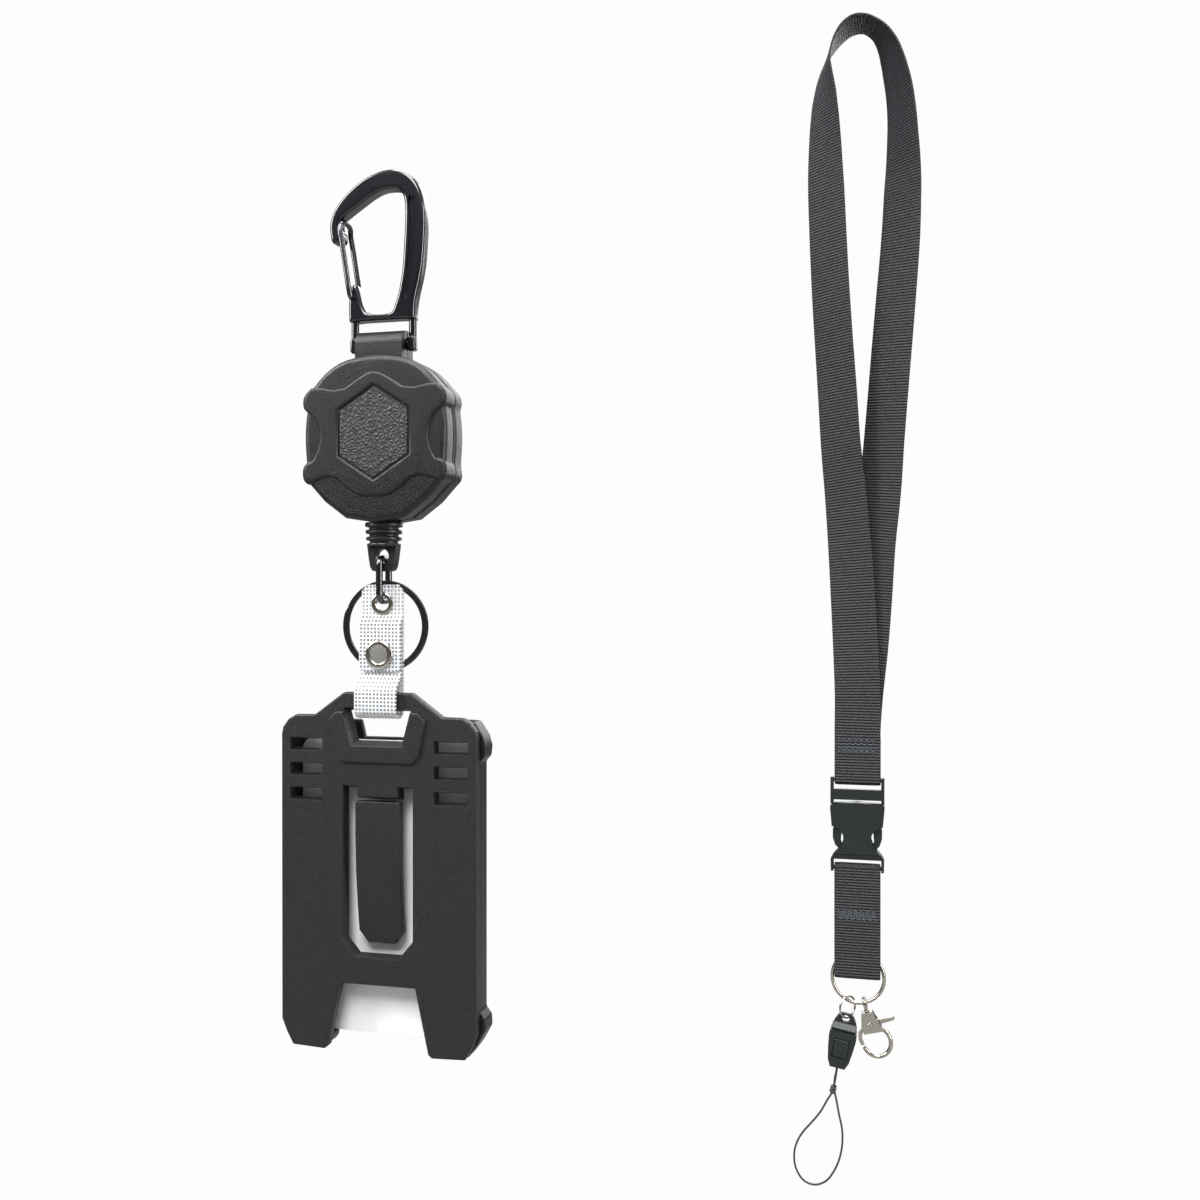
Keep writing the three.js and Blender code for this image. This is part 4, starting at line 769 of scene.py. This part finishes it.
# ------------------------------------------------------------------ lanyard
def ribbon(name, st, half, t, sub=4):
    """Webbing with rounded selvedges: stations are (centre, width vector) in mm. Stores u across and w along."""
    C = [Vector(s[0]) for s in st]
    W = [Vector(s[1]) for s in st]
    n = len(C)
    EC = [C[0] * 2 - C[1]] + C + [C[-1] * 2 - C[-2]]
    pts, ws = [], []
    for i in range(1, n):
        for j, q in enumerate(cr(EC[i - 1], EC[i], EC[i + 1], EC[i + 2], sub)):
            pts.append(q)
            ws.append(W[i - 1].lerp(W[i], j / sub))
    pts.append(C[-1])
    ws.append(W[-1])
    sec = []
    m = 10
    for i in range(m + 1):
        u = -1 + 2 * i / m
        sec.append((u * (half - 0.12), -t / 2 * (1 - 0.25 * abs(u) ** 8)))
    sec.append((half, 0))
    for i in range(m + 1):
        u = 1 - 2 * i / m
        sec.append((u * (half - 0.12), t / 2 * (1 - 0.25 * abs(u) ** 8)))
    sec.append((-half, 0))
    k = len(sec)
    V, F, U, L = [], [], [], []
    s = 0.0
    for i, p in enumerate(pts):
        a, b = pts[max(0, i - 1)], pts[min(len(pts) - 1, i + 1)]
        tn = (b - a).normalized()
        w = (ws[i] - tn * ws[i].dot(tn)).normalized()
        nn = w.cross(tn).normalized()
        if i:
            s += (p - pts[i - 1]).length
        for u, h in sec:
            V.append((p + w * u + nn * h) * MM)
            U.append(u)
            L.append(s)
    for i in range(len(pts) - 1):
        for q in range(k):
            l = (q + 1) % k
            F.append((i * k + q, i * k + l, (i + 1) * k + l, (i + 1) * k + q))
    F.append(tuple(range(k))[::-1])
    F.append(tuple((len(pts) - 1) * k + q for q in range(k)))
    me = raw(name, V, F)
    for nm, data in (("u", U), ("w", L)):
        at = me.attributes.new(nm, "FLOAT", "POINT")
        for i, x in enumerate(data):
            at.data[i].value = x
    return me, s


LEFT = [(-19.1, -14.2, 5.9), (-32.0, -14.5, 11.2), (-42.7, -14.4, 13.4), (-53.3, -14.2, 14.8), (-64.0, -14.0, 15.8), (-74.7, -13.6, 16.4), (-96.9, -12.7, 16.7), (-119.1, -11.6, 16.9), (-141.3, -10.2, 17.1), (-163.6, -8.7, 17.4), (-185.8, -7.3, 17.6), (-208.0, -5.1, 18.4), (-230.2, -3.3, 19.1), (-252.4, -1.9, 19.5), (-274.7, -0.7, 19.7), (-296.9, 0.2, 19.8), (-312.0, 0.1, 19.8)]
RIGHT = [(-21.3, 15.6, 9.6), (-32.0, 17.8, 11.0), (-42.7, 18.9, 12.0), (-53.3, 19.3, 13.2), (-64.0, 19.5, 14.6), (-74.7, 19.3, 15.8), (-96.9, 18.4, 16.7), (-119.1, 16.7, 17.2), (-141.3, 14.9, 17.4), (-163.6, 13.1, 17.4), (-185.8, 11.3, 17.6), (-208.0, 9.5, 18.4), (-230.2, 6.9, 19.1), (-252.4, 5.3, 19.5), (-274.7, 3.5, 19.7), (-296.9, 1.1, 19.8), (-312.0, 0.1, 19.8), (-328.6, 0.1, 19.8)]


def angle_of(wd):
    return math.acos(min(1.0, wd / 19.8))


def leg(rows, yb):
    return [(Vector((x, yb * min(1, max(0, (-z - 180) / 110)), z)), angle_of(wd)) for z, x, wd in rows]


rows = leg(RIGHT, 0.0)[::-1]
for x, z, a in [(13.7, -14.6, 1.14), (11.0, -8.6, 1.26), (7.2, -3.8, 1.42), (2.6, -1.0, 1.53), (-2.0, -1.1, 1.5708), (-6.6, -4.0, 1.54), (-10.5, -9.2, 1.46), (-12.9, -14.4, 1.36)]:
    rows.append((Vector((x, 0, z)), a))
rows += leg(LEFT, -1.9)
st = []
for i, (c, a) in enumerate(rows):
    p, q = rows[max(0, i - 1)][0], rows[min(len(rows) - 1, i + 1)][0]
    t = (q - p).normalized()
    wv = Vector((math.cos(a), -math.sin(a), 0))
    wv = (wv - t * wv.dot(t)).normalized()
    st.append((c + LAN, wv))
fold = [(-1.9, -320), (-1.9, -333.7)]
for i in range(1, 8):
    q = math.pi * i / 8
    fold.append((-1.9 * math.cos(q), -333.7 - 1.8 * math.sin(q)))
fold += [(1.9, -333.7), (1.9, -324), (1.9, -314.7)]
for y, z in fold:
    st.append((Vector((0.1, y, z)) + LAN, Vector((1, 0, 0))))
me, web_len = ribbon("neck_webbing", st, 9.9, 1.0)
neck = finish_mesh("neck_webbing", me, "webbing", "hang", ("neck_strap",), 60)

prof = []
for i in range(13):
    a = math.pi * i / 12
    prof.append((1.9 * math.cos(a), -372.4 + 1.7 * math.sin(a)))
for i in range(6):
    prof.append((-1.9, -372.4 - 46.7 * (i + 1) / 7))
for i in range(13):
    a = math.pi + math.pi * i / 12
    prof.append((1.9 * math.cos(a), -419.1 + 1.7 * math.sin(a)))
for i in range(7):
    prof.append((1.9, -419.1 + 46.7 * (i + 1) / 7))
st = [(Vector((0, y, z)) + LAN, Vector((1, 0, 0))) for y, z in prof]
me, low_len = ribbon("tail_webbing", st, 9.9, 1.0, 2)
tail = finish_mesh("tail_webbing", me, "webbing", "tail", ("lower_strap",), 60)


def stitches(name, body, z0, z1, y, x0=-8.2, x1=8.2, rows_=4):
    """Zigzag sewing: short thread stitches lying on the webbing's face."""
    parts = []
    for r in range(rows_):
        z = z0 + (z1 - z0) * r / (rows_ - 1)
        n = 13
        for i in range(n):
            xa = x0 + (x1 - x0) * i / n
            xb = x0 + (x1 - x0) * (i + 0.86) / n
            dz = 0.35 if i % 2 else -0.35
            parts.append(tube("st", [Vector((xa, y + 0.12, z - dz)) + LAN, Vector(((xa + xb) / 2, y - 0.1, z)) + LAN, Vector((xb, y + 0.12, z + dz)) + LAN], 0.16, 6))
    return finish_mesh(name, joined(*parts), "thread", body, (), 60)


stitches("seam_stitches", "hang", -316.2, -321.0, -2.45)
stitches("tail_stitches", "tail", -391.4, -394.4, -2.45)

for nd, wd in (("buckle_male", 0.4), ("buckle_prong_left", 0.35), ("buckle_prong_right", 0.35), ("buckle_female", 0.55)):
    refined(nd, "buckle", wd, 26, 30, 3)
me = lathe("sewn_ring", sph_profile(11.2, 0.8, 16), (0, 0, 0), "y", 72)
me.transform(Matrix.Translation((LAN + Vector((0.3, 0, -420.7))) * MM))
finish_mesh("sewn_ring", me, "nickel", "ring", ("strap_ring",), 60)
refined("hook_swivel", "nickel", 0.18, 24, 40, 2)
refined("hook_body", "nickel", 0.25, 50, 50, 2)
refined("hook_lever", "nickel", 0.22, 26, 34, 2)
refined("hook_rivet", "nickel", 0.15, 35, 34, 2)
me = lathe("wire_ring", sph_profile(4.7, 0.45, 12), (0, 0, 0), "y", 56)
cz = Vector((0.3 + 11.2 * math.sin(math.radians(-24)), 0, -420.7 - 11.2 * math.cos(math.radians(-24)) + 1.6 - 4.7))
me.transform(Matrix.Translation((LAN + cz) * MM) @ Matrix.Rotation(math.radians(50), 4, "Z"))
finish_mesh("wire_ring_round", me, "nickel", "wire_ring", ("small_ring",), 60)
refined("connector_cap", "buckle", 0.45, 20, 34, 3)
refined("connector_button", "buckle", 0.3, 26, 34, 3)
refined("connector_body", "buckle", 0.5, 20, 34, 3)

# ------------------------------------------------------------ floor and light
fl = raw("floor", [(-60, -60, -0.46), (60, -60, -0.46), (60, 60, -0.46), (-60, 60, -0.46)], [(0, 1, 2, 3)])
fm = Mat("floor_paint", (0.22, 0.22, 0.22, 1), 0.9)
_v = fm.coords()
fm.rough(fm.noise(_v, 3, 2.0), 0.85, 0.95)
_lp = fm.node("ShaderNodeLightPath")
_em = fm.node("ShaderNodeEmission")
_em.inputs["Color"].default_value = (0.98, 0.98, 0.98, 1)
_mx = fm.node("ShaderNodeMixShader")
_out = [n for n in fm.t.nodes if n.type == "OUTPUT_MATERIAL"][0]
fm.link(_lp.outputs["Is Camera Ray"], _mx.inputs[0])
fm.link(fm.b.outputs[0], _mx.inputs[1])
fm.link(_em.outputs[0], _mx.inputs[2])
fm.link(_mx.outputs[0], _out.inputs["Surface"])
fl.materials.append(fm.m)
floor = bpy.data.objects.new("floor", fl)
bpy.context.collection.objects.link(floor)

world = bpy.data.worlds.new("studio")
bpy.context.scene.world = world
world.use_nodes = True
wt = world.node_tree
bg = wt.nodes["Background"]
tc = wt.nodes.new("ShaderNodeTexCoord")
sx = wt.nodes.new("ShaderNodeSeparateXYZ")
wt.links.new(tc.outputs["Generated"], sx.inputs[0])
rp = wt.nodes.new("ShaderNodeValToRGB")
mr = wt.nodes.new("ShaderNodeMapRange")
mr.inputs["From Min"].default_value = -1.0
wt.links.new(sx.outputs["Z"], mr.inputs["Value"])
wt.links.new(mr.outputs["Result"], rp.inputs["Fac"])
els = rp.color_ramp.elements
els[0].position, els[0].color = 0.0, (0.55, 0.55, 0.55, 1)
els[1].position, els[1].color = 1.0, (0.9, 0.9, 0.9, 1)
for pos_, c_ in ((0.4, 0.32), (0.5, 0.1), (0.6, 0.16), (0.72, 0.5)):
    els.new(pos_).color = (c_, c_, c_, 1)
lp = wt.nodes.new("ShaderNodeLightPath")
mx = wt.nodes.new("ShaderNodeMix")
mx.data_type = "RGBA"
wt.links.new(lp.outputs["Is Camera Ray"], mx.inputs["Factor"])
wt.links.new(rp.outputs["Color"], mx.inputs["A"])
mx.inputs["B"].default_value = (0.98, 0.98, 0.98, 1)
wt.links.new(mx.outputs["Result"], bg.inputs["Color"])
bg.inputs["Strength"].default_value = 1.0


def area(name, loc, target, size, power, size_y=None):
    li = bpy.data.lights.new(name, "AREA")
    li.energy = power
    li.size = size
    if size_y:
        li.shape = "RECTANGLE"
        li.size_y = size_y
    ob = bpy.data.objects.new(name, li)
    bpy.context.collection.objects.link(ob)
    ob.location = loc
    ob.rotation_euler = (Vector(target) - Vector(loc)).to_track_quat("-Z", "Y").to_euler()


area("key", (-0.8, -0.45, 0.5), (0, 0, -0.13), 0.3, 15, 0.8)
area("fill", (1.1, -0.15, 0.1), (0.05, 0.1, -0.15), 0.2, 9, 0.9)
area("top", (0.0, 0.1, 0.95), (0.03, 0.1, -0.1), 0.6, 12)
area("front", (0.1, -1.0, 1.0), (0.05, 0.1, -0.15), 0.7, 24)
area("back", (0.3, 1.2, 0.35), (0.05, 0.1, -0.15), 0.9, 9)
bpy.context.scene.view_settings.view_transform = "Standard"
